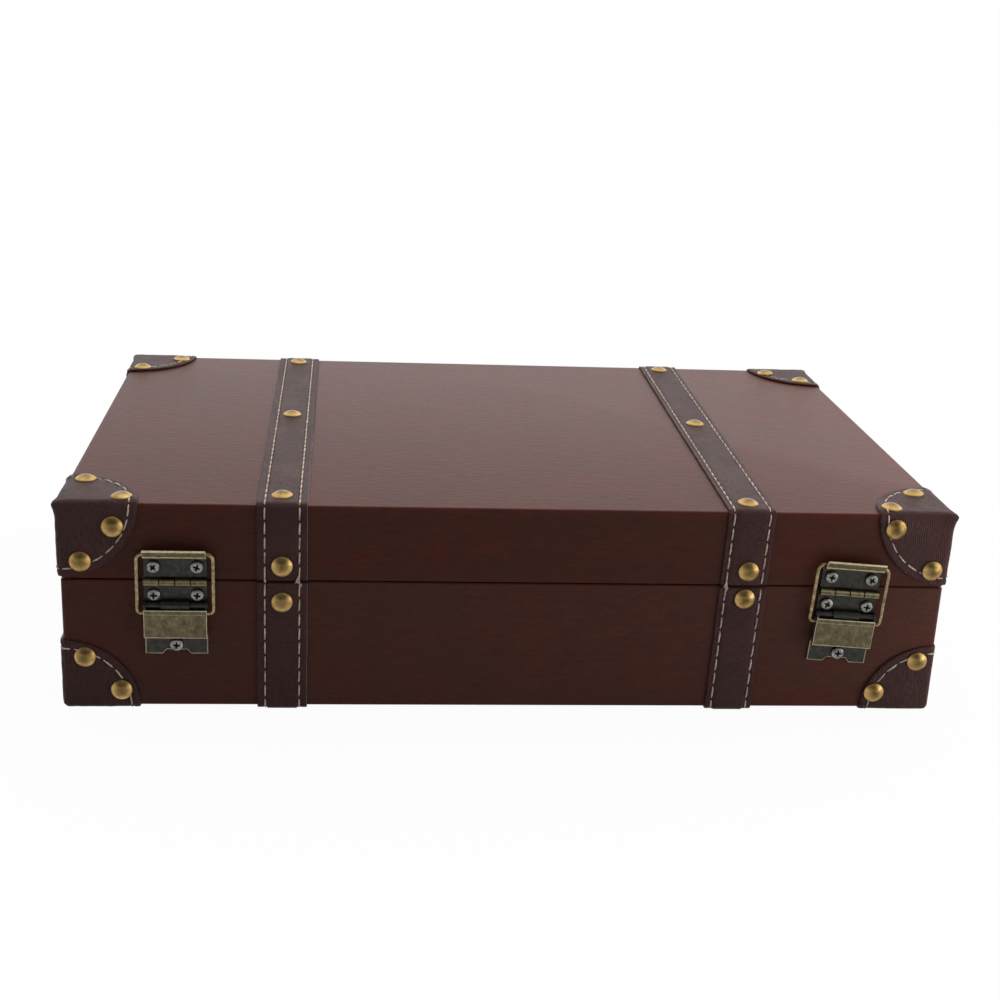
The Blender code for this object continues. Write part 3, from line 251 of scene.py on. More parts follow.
# Studio
FLOOR_SIZE = 400.0
FLOOR_SEEN = 0.88
FLOOR_BOUNCE = 0.46
FLOOR_LIFT = 0.96
LIGHT_LEAN = (0.25, 0.84, 0.80)
LIGHT_FADE = (0.20, 1.00)
LIGHT_DARKEST = 0.05
LIGHT_BRIGHTEST = 1.75
LIGHT_SIDES = 0.70
LIGHT_BLEND = 0.4

# Lamps: where each one stands, what it is aimed at, its size and its power
LAMPS = (
    ("low_reflector", (0.36, -0.26, 0.02), (0.175, -0.125, 0.025), 0.12, 0.10),
    ("right_softbox", (0.62, -0.38, 0.16), (0.19, -0.12, 0.03), 0.50, 1.1),
)

# Wrinkles and weave: how close they lie, in radians a metre, and how far the wrinkles wander
RIB_DENSITY = 6800.0
RIB_WANDER = 11.0
WEAVE_DENSITY = 3000.0

# Leather's gloss is faint face on, and strong only at a glancing angle
LEATHER_IOR = 1.20
TRIM_IOR = 1.17

# Painted light on the leather: its brightness from the box's left end to its right, higher where the right-hand
# lamp falls
TRIM_PAINTED_SIDE_LIGHT = ((0.0, 0.86), (0.3, 0.88), (0.7, 0.97), (1.0, 0.91))
COVER_PAINTED_SIDE_LIGHT = ((0.0, 0.93), (0.6, 1.0), (0.85, 1.10), (1.0, 1.30))

# Heights where the lid's top colour, painted lighter and greyer as a sheen, sets in, and where its rubbed edge
# does
SHEEN_TOP_START = (TOP_Z - 0.0008, TOP_Z - 0.0002)
RUBBED_START = (TOP_Z - 0.0026, TOP_Z - 0.0012)

# Leather of the base, of the lid's sides and of its top, and of the straps and corners; the lid's sides are
# painted darker than the base as painted shade, and the top lighter and greyer as a painted sheen
COVER_TONES_WITH_PAINTED_LIGHT = (
    ((0.068, 0.0260, 0.0180), (0.075, 0.0255, 0.0175), (0.090, 0.0240, 0.0165)),
    ((0.059, 0.0200, 0.0130), (0.065, 0.0195, 0.0125), (0.080, 0.0180, 0.0115)),
    ((0.083, 0.0365, 0.0265), (0.095, 0.0350, 0.0240), (0.112, 0.0340, 0.0235)),
)
RUBBED_RED = (0.105, 0.019, 0.012)
TRIM_TONES = ((0.070, 0.034, 0.033), (0.082, 0.040, 0.038), (0.095, 0.045, 0.041))

# Facets, and the first seed of each kind of piece
ROUND_STEPS = 6
TILE = 0.012
SEEDS = {"base": 11, "lid": 21, "tufts": 31, "corners": 51}


def mesh_of(name, build):
    """Make a mesh by running a builder on a fresh bmesh."""
    mesh = bpy.data.meshes.new(name)
    shape = bmesh.new()
    build(shape)
    bmesh.ops.recalc_face_normals(shape, faces=shape.faces)
    shape.to_mesh(mesh)
    shape.free()
    return mesh


def link(name, data):
    """A new object in the scene."""
    item = bpy.data.objects.new(name, data)
    bpy.context.scene.collection.objects.link(item)
    return item


def add_piece(name, source, body, materials, replaced=(), angle=None):
    """Link a piece, dress it, and let it ride on its body; its source is a mesh or what builds one."""
    mesh = source if isinstance(source, bpy.types.Mesh) else mesh_of(name, source)
    if angle:
        mesh.shade_smooth()
        mesh.set_sharp_from_angle(angle=radians(angle))
    piece = link(name, mesh)
    for material in materials:
        mesh.materials.append(material)
    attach(piece, body)
    if replaced:
        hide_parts(*replaced)
    return piece


def bridge(shape, loops):
    """Faces between rings of vertices; a ring of one vertex is a point."""
    for lower, upper in zip(loops, loops[1:]):
        count = max(len(lower), len(upper))
        for index in range(count):
            pairs = ((lower, index), (lower, index + 1), (upper, index + 1), (upper, index))
            corners = [loop[number % count % len(loop)] for loop, number in pairs]
            shape.faces.new(list(dict.fromkeys(corners)))


def skin(shape, rings):
    """Skin rings of points in order, and cap the ends."""
    loops = [[shape.verts.new(point) for point in ring] for ring in rings]
    bridge(shape, loops)
    shape.faces.new(reversed(loops[0]))
    shape.faces.new(loops[-1])


def circle(sides):
    """Angles round a full turn."""
    return [2 * pi * side / sides for side in range(sides)]


def turned(shape, profile, sides, matrix, shares=()):
    """A solid turned about Z from radius and height pairs; a zero radius closes to a point."""
    layer = shape.verts.layers.float.get("share") or shape.verts.layers.float.new("share")
    loops = []
    for radius, height in profile:
        angles = circle(sides if radius else 1)
        ring = [matrix @ Vector((radius * cos(a), radius * sin(a), height)) for a in angles]
        loops.append([shape.verts.new(point) for point in ring])
    for loop, share in zip(loops, shares):
        for vert in loop:
            vert[layer] = share
    bridge(shape, loops)


def facing(direction):
    """The turn that points a shape's Z axis along a direction."""
    return Vector(direction).to_track_quat("Z", "Y").to_matrix().to_4x4()


def sweep(shape, points, radius, sides, normal):
    """A round tube along a plane path, with closed ends; normal stands on the plane."""
    rings = []
    normal = Vector(normal)
    for index, point in enumerate(points):
        before = points[max(index - 1, 0)]
        after = points[min(index + 1, len(points) - 1)]
        side = (after - before).normalized().cross(normal).normalized()
        rings.append([point + radius * (cos(a) * side + sin(a) * normal) for a in circle(sides)])
    skin(shape, rings)


def turns(first=0):
    """Angles over a quarter turn, counted from a number of quarters."""
    return [pi / 2 * (first + step / ROUND_STEPS) for step in range(ROUND_STEPS + 1)]


def arc(centre, radius, start, end, count):
    """Points along an arc in a plane, with angles in degrees."""
    points = []
    for index in range(count + 1):
        angle = radians(start + (end - start) * index / count)
        points.append((centre[0] + radius * cos(angle), centre[1] + radius * sin(angle)))
    return points


class Nodes:
    """Short names for the nodes and links of a material or a world."""

    def __init__(self, tree):
        self.tree = tree

    def add(self, kind, inputs=(), **settings):
        """A shader node with its settings and its inputs."""
        node = self.tree.nodes.new("ShaderNode" + kind)
        for key, value in settings.items():
            setattr(node, key, value)
        for key, value in dict(inputs).items():
            self.join(value, node.inputs[key])
        return node

    def join(self, source, target):
        """Link an output to an input, or set a plain value on it."""
        if isinstance(source, bpy.types.NodeSocket):
            self.tree.links.new(source, target)
        else:
            target.default_value = (*source, 1.0) if target.type == "RGBA" else source

    def math(self, kind, first, second=0.0, third=0.0):
        """A sum or other plain operation on values."""
        return self.add("Math", {0: first, 1: second, 2: third}, operation=kind).outputs[0]

    def span(self, value, low, high, start=0.0, end=1.0, kind="LINEAR"):
        """A value's range from low to high, mapped to start to end and held there."""
        limits = {"Value": value, "From Min": low, "From Max": high, "To Min": start, "To Max": end}
        return self.add("MapRange", limits, interpolation_type=kind).outputs["Result"]

    def seen_rays(self):
        """One for camera, glossy and transmission rays, and zero for the light's own rays."""
        rays = self.add("LightPath").outputs
        seen = self.math("MAXIMUM", rays["Is Camera Ray"], rays["Is Glossy Ray"])
        return self.math("MAXIMUM", seen, rays["Is Transmission Ray"])


class Paint(Nodes):
    """A material under construction."""

    def __init__(self, name):
        self.material = bpy.data.materials.new(name)
        self.material.use_nodes = True
        super().__init__(self.material.node_tree)
        self.surface = self.tree.nodes["Principled BSDF"]
        self.place = self.add("TexCoord").outputs["Object"]

    def noise(self, scale, detail=3.0, roughness=0.55, distortion=0.0):
        """Noise between 0 and 1; three scales draw it out along X, Y and Z."""
        vector = self.place
        if isinstance(scale, tuple):
            vector = self.add("Mapping", {"Vector": vector, "Scale": scale}).outputs["Vector"]
            scale = 1.0
        inputs = {"Vector": vector, "Scale": scale, "Detail": detail, "Roughness": roughness}
        return self.add("TexNoise", {**inputs, "Distortion": distortion}).outputs["Fac"]

    def ramp(self, factor, *stops):
        """A colour ramp from (place, colour) stops; a number stands for a grey."""
        node = self.add("ValToRGB", {"Fac": factor})
        elements = node.color_ramp.elements
        while len(elements) < len(stops):
            elements.new(0.5)
        for element, (place, colour) in zip(elements, stops):
            element.position = place
            element.color = (*((colour,) * 3 if isinstance(colour, float) else colour), 1.0)
        return node.outputs["Color"]

    def mix(self, factor, first, second, kind="MIX"):
        """Two colours mixed by a factor."""
        inputs = {0: factor, 6: first, 7: second}
        return self.add("Mix", inputs, data_type="RGBA", blend_type=kind).outputs[2]

    def tint(self, colour, factor, *stops):
        """A colour made darker and lighter by a ramp of greys."""
        return self.mix(1.0, colour, self.ramp(factor, *stops), "MULTIPLY")

    def fade(self, colour, stops):
        """A colour whose brightness changes along the box, as painted light."""
        return self.tint(colour, self.span(self.part("X"), LEFT_X, RIGHT_X), *stops)

    def part(self, axis):
        """One of the object's coordinates."""
        return self.add("SeparateXYZ", {0: self.place}).outputs[axis]

    def own(self, name, output):
        """A value that the mesh carries."""
        return self.add("Attribute", attribute_name=name).outputs[output]

    def finish(self, colour, roughness, bumps=(), **values):
        """Join the colour, roughness and bumps to the surface, and return the material.

        Each bump has a height, a distance and a strength, and lies on the one before it.
        """
        values.update({"Base Color": colour, "Roughness": roughness})
        for height, distance, strength in bumps:
            inputs = {"Height": height, "Distance": distance, "Strength": strength}
            if "Normal" in values:
                inputs["Normal"] = values["Normal"]
            values["Normal"] = self.add("Bump", inputs).outputs["Normal"]
        for key, value in values.items():
            self.join(value, self.surface.inputs[key.replace("_", " ")])
        return self.material


def cover_leather():
    """Red-brown leather cloth: fine short creases along X over softer folds with painted shade in them, a painted
    sheen on the flat lid, and painted light towards the right end.
    """
    paint = Paint("cover_leather")
    grain = paint.noise((330.0, 2100.0, 2100.0), 4.0, 0.60, 0.8)
    creases = paint.noise((110.0, 640.0, 640.0), 4.0, 0.62, 1.6)
    folds = paint.noise((150.0, 420.0, 420.0), 3.0, 0.60, 0.8)
    cloud = paint.noise((26.0, 48.0, 48.0), 5.0, 0.66)
    # The lid's sides take darker tones than the base, as painted shade, and the lid's top lighter and greyer ones,
    # as a painted sheen.
    base, lid, top = [paint.ramp(cloud, *zip((0.34, 0.50, 0.66), tones)) for tones in COVER_TONES_WITH_PAINTED_LIGHT]
    height = paint.part("Z")
    colour = paint.mix(paint.span(height, SEAM_Z - GAP, SEAM_Z + GAP), base, lid)
    colour = paint.mix(paint.span(height, *SHEEN_TOP_START), colour, top)
    # Painted shade in the creases and folds and painted light on their ridges, from the same noise as their bumps.
    colour = paint.tint(colour, creases, (0.36, 0.90), (0.50, 1.0), (0.64, 1.10))
    colour = paint.tint(colour, folds, (0.34, 0.95), (0.66, 1.05))
    edge = paint.span(creases, 0.40, 0.60, 0.20, 0.55)
    edge = paint.math("MULTIPLY", paint.span(height, *RUBBED_START), edge)
    # Painted light brightens the cover towards the right end.
    colour = paint.fade(paint.mix(edge, colour, RUBBED_RED), COVER_PAINTED_SIDE_LIGHT)
    bumps = ((folds, 0.00035, 0.45), (creases, 0.00021, 0.65), (grain, 0.00008, 0.65))
    return paint.finish(colour, paint.span(grain, 0.3, 0.7, 0.40, 0.50), bumps, IOR=LEATHER_IOR)


def trim_leather(name, wrinkles, depth, relief):
    """Darker leather of the straps and corners, with wrinkles that come and go, painted shade in their hollows,
    painted light on their ridges, and painted light towards the right end.
    """
    paint = Paint(name)
    lines = wrinkles(paint)
    pebbles = paint.add("TexVoronoi", {"Vector": paint.place, "Scale": 1500.0}).outputs["Distance"]
    calm = paint.span(paint.noise(70.0, 2.0), 0.36, 0.60, 0.40, 1.0)
    colour = paint.ramp(paint.noise(40.0, 4.0), *zip((0.32, 0.52, 0.72), TRIM_TONES))
    # Painted shade in the wrinkles' hollows and painted light on their ridges, where the wrinkles show.
    shade = paint.mix(calm, (1.0, 1.0, 1.0), paint.ramp(lines, (0.2, 1.0 - depth), (0.8, 1.0 + depth)))
    colour = paint.fade(paint.mix(1.0, colour, shade, "MULTIPLY"), TRIM_PAINTED_SIDE_LIGHT)
    bumps = (
        (paint.noise(60.0, 2.0), 0.00035, 0.4), (paint.math("MULTIPLY", lines, calm), relief, 1.0),
        (pebbles, 0.00006, 0.45),
    )
    return paint.finish(colour, paint.span(lines, 0.0, 1.0, 0.50, 0.42), bumps, IOR=TRIM_IOR)


def drawn_wrinkles(paint):
    """Irregular wrinkles drawn out across a strap."""
    return paint.span(paint.noise((500.0, 1350.0, 1350.0), 2.0, 0.45, 1.6), 0.36, 0.64)


def ribbed_wrinkles(paint):
    """Even, wavy wrinkles that run down a corner's faces."""
    along = paint.math("ADD", paint.part("X"), paint.part("Y"))
    drift = paint.math("MULTIPLY", paint.noise((240.0, 240.0, 130.0), 2.0), RIB_WANDER)
    phase = paint.math("ADD", paint.math("MULTIPLY", along, RIB_DENSITY), drift)
    wave = paint.span(paint.math("SINE", phase), -1.0, 1.0)
    return paint.mix(0.45, wave, paint.span(paint.noise((1100.0, 1100.0, 420.0), 2.0), 0.34, 0.66))


def mottled(name, scale, detail, stops, roughness, relief=None, fine=None):
    """A paint in soft patches; relief is its bump's depth and strength, and fine that bump's own scale."""
    paint = Paint(name)
    patches = paint.noise(scale, detail)
    colour = paint.ramp(patches, *stops)
    height = paint.noise(fine, 2.0) if fine else patches
    return paint.finish(colour, roughness, [(height, *relief)] if relief else ())


def metal(name, tones, rough, scale, pits):
    """Patinated metal: three tones in soft patches, with small pits and rubbed places."""
    paint = Paint(name)
    patches = paint.noise(scale, 5.0, 0.62, 0.4)
    specks = paint.noise(scale * 5.0)
    colour = paint.ramp(patches, *zip((0.30, 0.50, 0.72), tones))
    colour = paint.mix(paint.span(specks, 0.62, 0.74, 0.0, pits), colour, tones[0])
    roughness = paint.span(patches, 0.25, 0.75, rough + 0.14, rough - 0.04)
    bumps = ((patches, 0.00003, 0.5), (specks, 0.00002, 0.6))
    return paint.finish(colour, roughness, bumps, Metallic=1.0)


def worn_and_highlit_metal(name, tones, bright, lines, scale, rough, metallic=1.0):
    """Old metal in three soft tones, brightened along lines of the piece's own width and height: worn edges and
    painted highlights.

    Each line is a range across, counted from the middle, and a range of heights; None takes all.
    """
    paint = Paint(name)
    own = paint.add("SeparateXYZ", {0: paint.own("place", "Vector")}).outputs
    across = paint.math("ABSOLUTE", own["X"])
    patches = paint.noise(scale, 5.0, 0.64, 0.3)
    drag = paint.noise((1400.0, 1400.0, 500.0))
    colour = paint.ramp(patches, *zip((0.32, 0.52, 0.74), tones))
    colour = paint.tint(colour, drag, (0.32, 0.82), (0.66, 1.14))
    # rubbed gathers the bright lines: partly worn edges, partly painted highlights.
    rubbed = 0.0
    for wide, high, strength in lines:
        line = strength
        for value, limits in ((across, wide), (own["Z"], high)):
            for limit, ends in zip(limits or (), ((0.0, 1.0), (1.0, 0.0))):
                line = paint.math(
                    "MULTIPLY", line, paint.span(value, limit - LINE_BLUR, limit + LINE_BLUR, *ends)
                )
        rubbed = paint.math("MAXIMUM", rubbed, line)
    rubbed = paint.math("MULTIPLY", rubbed, paint.span(patches, 0.30, 0.52, 0.45, 1.0))
    roughness = paint.span(patches, 0.25, 0.75, rough + 0.10, rough - 0.06)
    colour = paint.mix(rubbed, colour, bright)
    return paint.finish(colour, roughness, [(patches, 0.00003, 0.5)], Metallic=metallic)


def nail_brass_painted_reflection():
    """Old brass nail heads with a painted reflection: a dark crown and a bright ring just inside the rim."""
    paint = Paint("nail_brass_painted_reflection")
    share = paint.own("share", "Fac")
    patches = paint.noise(300.0, 5.0, 0.62, 0.4)
    tones = ((0.34, 0.20, 0.065), (0.51, 0.33, 0.118), (0.64, 0.435, 0.17))
    colour = paint.ramp(patches, *zip((0.30, 0.52, 0.74), tones))
    # Painted reflection: darkest at the crown, brightest just inside the rim, with a thin darker line at the very
    # edge.
    colour = paint.tint(colour, share, (0.02, 0.66), (0.10, 0.96), (0.28, 0.74), (0.50, 0.46), (0.85, 0.26))
    roughness = paint.span(patches, 0.25, 0.75, 0.36, 0.28)
    roughness = paint.math("ADD", roughness, paint.span(share, 0.02, 0.20, 0.10, 0.0))
    return paint.finish(colour, roughness, [(patches, 0.00003, 0.5)], Metallic=1.0)


def lining_cloth():
    """Plain woven beige cloth."""
    paint = Paint("lining_cloth")
    phases = [paint.math("MULTIPLY", paint.part(axis), WEAVE_DENSITY) for axis in "XYZ"]
    x, y, z = [paint.math("SINE", phase) for phase in phases]
    weave = paint.math("MULTIPLY", x, y)
    weave = paint.math("ADD", weave, paint.math("MULTIPLY", z, x))
    weave = paint.math("ADD", weave, paint.math("MULTIPLY", z, y))
    weave = paint.span(weave, -1.4, 1.4)
    colour = paint.ramp(paint.noise(16.0, 4.0), (0.30, (0.36, 0.27, 0.18)), (0.70, (0.47, 0.37, 0.26)))
    colour = paint.tint(colour, weave, (0.15, 0.70), (0.85, 1.12))
    colour = paint.tint(colour, paint.noise((60.0, 900.0, 900.0), 4.0), (0.35, 0.88), (0.65, 1.08))
    bumps = ((paint.noise(35.0, 2.0), 0.0008, 0.4), (weave, 0.00016, 0.7))
    return paint.finish(colour, 0.92, bumps, Sheen_Weight=0.25, Sheen_Roughness=0.5)


def board_wood():
    """Pale board with long grain along X."""
    paint = Paint("board_wood")
    rings = paint.noise((7.0, 160.0, 160.0), 5.0, 0.6, 2.0)
    fibres = paint.noise((90.0, 2200.0, 2200.0))
    colour = paint.ramp(
        rings, (0.30, (0.30, 0.19, 0.10)), (0.52, (0.44, 0.31, 0.18)), (0.75, (0.54, 0.40, 0.25))
    )
    colour = paint.tint(colour, fibres, (0.3, 0.86), (0.7, 1.08))
    return paint.finish(colour, 0.72, ((fibres, 0.00010, 0.5), (rings, 0.00012, 0.4)))


COVER = cover_leather()
STRAP = trim_leather("strap_leather", drawn_wrinkles, 0.12, 0.00026)
PAD = trim_leather("corner_leather", ribbed_wrinkles, 0.34, 0.00024)
CUT = mottled(
    "cut_leather", 1400.0, 4.0, ((0.35, (0.022, 0.013, 0.012)), (0.65, (0.055, 0.034, 0.030))),
    0.75, (0.00010, 0.7),
)
# Painted highlight: a pale strip for the left strap's right edge, where light from the right grazes it.
EDGE_HIGHLIGHT = mottled(
    "painted_edge_highlight", 160.0, 4.0, ((0.30, (0.085, 0.055, 0.050)), (0.60, (0.200, 0.155, 0.145))),
    0.6, (0.00008, 0.6),
)
# Painted shade: near-black for the stitch holes and the screws' cross recesses.
HOLE_SHADE = mottled(
    "stitch_hole_shade", 900.0, 3.0, ((0.3, (0.006, 0.003, 0.003)), (0.7, (0.014, 0.008, 0.007))), 0.9,
)
THREAD = mottled(
    "thread", 260.0, 4.0,
    ((0.30, (0.38, 0.27, 0.20)), (0.50, (0.62, 0.475, 0.385)), (0.70, (0.82, 0.67, 0.58))),
    0.72, (0.00008, 0.6), 4200.0,
)
NAIL_BRASS_REFLECTION = nail_brass_painted_reflection()
WIRE_BRASS = metal(
    "wire_brass", ((0.12, 0.090, 0.048), (0.235, 0.18, 0.10), (0.42, 0.34, 0.21)), 0.34, 500.0, 0.35,
)
BRIGHT_EDGE = metal(
    "bright_edge", ((0.40, 0.34, 0.22), (0.62, 0.54, 0.37), (0.78, 0.69, 0.50)), 0.34, 900.0, 0.2,
)
HINGE_BRASS = metal(
    "hinge_brass", ((0.13, 0.105, 0.058), (0.19, 0.155, 0.085), (0.27, 0.22, 0.13)), 0.42, 800.0, 0.4,
)
SCREW_STEEL = metal(
    "screw_steel", ((0.09, 0.09, 0.085), (0.21, 0.205, 0.19), (0.36, 0.35, 0.33)), 0.36, 900.0, 0.5,
)
LEVER_BRASS = worn_and_highlit_metal(
    "lever_brass", ((0.078, 0.058, 0.036), (0.110, 0.091, 0.053), (0.160, 0.136, 0.083)),
    (0.42, 0.37, 0.25),
    # Bright lines along the lever's sides and bottom edge, and painted highlights along its top edge and 2 mm
    # below it.
    (
        ((LEVER_SIDE, 1.0), (-1.0, LEVER_HIGH), 0.75), (None, (-1.0, LEVER_LOW + 0.00035), 0.80),
        (None, (LEVER_HIGH - 0.0004, 1.0), 0.85), (None, (LEVER_HIGH - 0.0021, LEVER_HIGH - 0.0018), 0.4),
    ), 360.0, 0.40,
)
BAND_BRASS = worn_and_highlit_metal(
    "band_brass", ((0.055, 0.046, 0.022), (0.105, 0.087, 0.042), (0.20, 0.165, 0.088)),
    (0.56, 0.47, 0.30),
    # Painted highlights on the knuckle above and below its pin and along the hook's bend, and a bright line along
    # the hook's top edge.
    (
        (None, (PIVOT_DROP + 0.0005, PIVOT_DROP + 0.0011), 0.8),
        (None, (PIVOT_DROP - 0.0012, PIVOT_DROP - 0.0007), 0.8),
        (None, (HOOK_BEND - 0.0004, HOOK_BEND + 0.0005), 0.9), (None, (HOOK_TOP - 0.0009, 1.0), 0.9),
    ), 700.0, 0.36,
)
PLATE = worn_and_highlit_metal(
    "dark_plate", ((0.025, 0.025, 0.022), (0.035, 0.034, 0.030), (0.052, 0.049, 0.042)),
    (0.34, 0.30, 0.22),
    (((PLATE_SIDE, 1.0), (-1.0, TAB_TOP), 0.8), (None, (-1.0, TAB_LOW + 0.0004), 0.8)),
    400.0, 0.42, 0.85,
)
CLOTH = lining_cloth()
WOOD = board_wood()


def rounded_outline(inset, height):
    """Points round the body's outline, drawn in by an inset, with long sides split evenly."""
    radius = max(CORNER_RADIUS - inset, LINING_RADIUS)
    across = BODY_WIDTH / 2 - inset - radius
    along = BODY_DEPTH / 2 - inset - radius
    points = []
    for quarter, (side_x, side_y) in enumerate(((1, 1), (-1, 1), (-1, -1), (1, -1))):
        for angle in turns(quarter):
            x = side_x * across + radius * cos(angle)
            y = MIDDLE_Y + side_y * along + radius * sin(angle)
            points.append(Vector((x, y, height)))
    split = []
    for index, point in enumerate(points):
        following = points[(index + 1) % len(points)]
        quarter, step = divmod(index, ROUND_STEPS + 1)
        side = BODY_DEPTH if quarter % 2 else BODY_WIDTH
        pieces = ceil(side / TILE) if step == ROUND_STEPS else 1
        split += [point.lerp(following, piece / pieces) for piece in range(pieces)]
    return split


def round_edge(radius, inset):
    """Insets and heights round an edge, from the flat face to the upright one."""
    return [(inset + radius * (1 - sin(a)), inset + radius * (1 - cos(a))) for a in turns()]


def tray_builder(levels, floor_z, turn):
    """What builds a tray from levels of inset and height above its floor."""
    return lambda shape: skin(
        shape, [rounded_outline(inset, floor_z + turn * height) for inset, height in levels]
    )


def add_cover(body, floor_z, turn, rim_z):
    """Leather over a tray, turned in over its rim."""
    top = abs(rim_z - floor_z)
    levels = round_edge(COVER_EDGE_RADIUS, 0.0)
    levels += [(RIM_RADIUS * (1 - cos(a)), top - RIM_RADIUS * (1 - sin(a))) for a in turns()]
    levels += [
        (COVER_LIP - COVER_THICKNESS / 2, top), (COVER_LIP, top - COVER_THICKNESS / 2),
        (COVER_LIP, top - COVER_THICKNESS), (COVER_THICKNESS, top - COVER_THICKNESS),
    ]
    levels += round_edge(COVER_EDGE_RADIUS / 2, COVER_THICKNESS)[::-1]
    build = tray_builder(levels, floor_z, turn)
    add_piece(body + "_cover", build, body, [COVER], [body + "_leather_cover"], 50)


def add_lining(body, floor_z, turn, _):
    """Cloth inside a tray, with softly rounded inner edges."""
    floor, rim = sorted(abs(corner.z - floor_z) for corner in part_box(body + "_lining"))
    inside = LINING_INSET + LINING_THICKNESS
    levels = [(LINING_INSET, floor), (LINING_INSET, rim), (inside, rim)]
    for angle in turns():
        rise = LINING_THICKNESS + LINING_RADIUS * (1 - sin(angle))
        levels.append((inside + LINING_RADIUS * (1 - cos(angle)), floor + rise))
    build = tray_builder(levels, floor_z, turn)
    add_piece(body + "_cloth", build, body, [CLOTH], [body + "_lining"], 50)


class Walk:
    """A line over a surface: its points and outward normals, found again by distance."""

    def __init__(self, places):
        self.places = places
        self.marks = [0.0]
        for (before, _), (after, _) in zip(places, places[1:]):
            self.marks.append(self.marks[-1] + (after - before).length)
        self.length = self.marks[-1]

    def at(self, distance):
        """The point and normal at a distance along the line."""
        distance = min(max(distance, 0.0), self.length)
        high = bisect_right(self.marks, distance, 1, len(self.marks) - 1)
        start = self.marks[high - 1]
        run = self.marks[high] - start
        share = (distance - start) / run if run else 0.0
        (first, first_normal), (second, second_normal) = self.places[high - 1:high + 1]
        return first.lerp(second, share), first_normal.lerp(second_normal, share).normalized()


def add_stitch(shape, walk, start, end, skew, chance):
    """One stitch: a two-ply thread that comes up out of one hole and goes down the next."""
    height = STITCH_RADIUS * chance.uniform(0.72, 0.98)
    radius = STITCH_RADIUS * chance.uniform(0.92, 1.08)
    lean = chance.uniform(-0.4, 0.4)
    rings = []
    for ring in range(STITCH_RINGS):
        share = ring / (STITCH_RINGS - 1)
        middle = start + (end - start) * share
        place, normal = walk.at(middle)
        along = walk.at(middle + STITCH_RADIUS)[0] - walk.at(middle - STITCH_RADIUS)[0]
        side = along.normalized().cross(normal).normalized()
        swing = sqrt(max(sin(pi * share), 0.0))
        rise = -STITCH_DIVE + (height + STITCH_DIVE) * swing
        centre = place + normal * rise + side * skew * (share - 0.5 + 0.25 * lean)
        thin = 0.62 + 0.38 * swing
        points = []
        for angle in circle(STITCH_SIDES):
            ply = 0.88 + 0.12 * cos(2 * (angle - 2.6 * pi * share))
            point = centre + radius * thin * ply * (cos(angle) * side + sin(angle) * normal)
            point.z = max(point.z, STITCH_FLOOR)
            points.append(point)
        rings.append(points)
    skin(shape, rings)


def add_stitching(name, body, walks, skews, seed):
    """Rows of stitches with their holes, on one piece of leather."""
    chance = random.Random(seed)
    counts = [max(1, round(walk.length / STITCH_PITCH)) for walk in walks]

    def threads(shape):
        for walk, count, skew in zip(walks, counts, skews):
            step = walk.length / count
            for number in range(count):
                start = number * step + STITCH_GAP / 2 + chance.uniform(-0.1, 0.1) * STITCH_GAP
                end = (number + 1) * step - STITCH_GAP / 2 + chance.uniform(-0.1, 0.1) * STITCH_GAP
                add_stitch(shape, walk, start, end, skew * chance.uniform(0.6, 1.4), chance)

    # Each stitch hole is a small near-black disc on the leather: painted shade where the thread goes in.
    def holes(shape):
        for walk, count in zip(walks, counts):
            for number in range(1, count):
                place, normal = walk.at(walk.length * number / count)
                turned(shape, STITCH_HOLE, HOLE_SIDES, Matrix.Translation(place) @ facing(normal))

    add_piece(name, threads, body, [THREAD], angle=70)
    add_piece(name + "_holes", holes, body, [HOLE_SHADE])


def add_nails(name, body, nails, seed):
    """Dome nail heads, drawn in a little under their widest ring, each set a little askew."""
    chance = random.Random(seed)
    low = asin((NAIL_WAIST + NAIL_SINK) / NAIL_UNDERCUT)
    profile = []
    for share in (1.0, 0.7, 0.35):
        profile.append((NAIL_RADIUS * cos(low * share), NAIL_WAIST - NAIL_UNDERCUT * sin(low * share)))
    # Each ring's share, from 0 at the rim to 1 at the crown, places the nails' painted reflection.
    shares = [0.0] * len(profile)
    for ring in range(NAIL_RINGS, -1, -1):
        angle = pi / 2 * ring / NAIL_RINGS
        rise = (NAIL_HEIGHT - NAIL_WAIST) * cos(angle) ** NAIL_CROWN
        profile.append((NAIL_RADIUS * sin(angle), NAIL_WAIST + rise))
        shares.append(1 - sin(angle))

    def build(shape):
        for place, direction in nails:
            matrix = Matrix.Translation(place) @ facing(direction)
            for axis in "XY":
                matrix @= Matrix.Rotation(radians(chance.uniform(-NAIL_TILT, NAIL_TILT)), 4, axis)
            turned(shape, profile, NAIL_SIDES, matrix, shares)

    add_piece(name, build, body, [NAIL_BRASS_REFLECTION], angle=60)


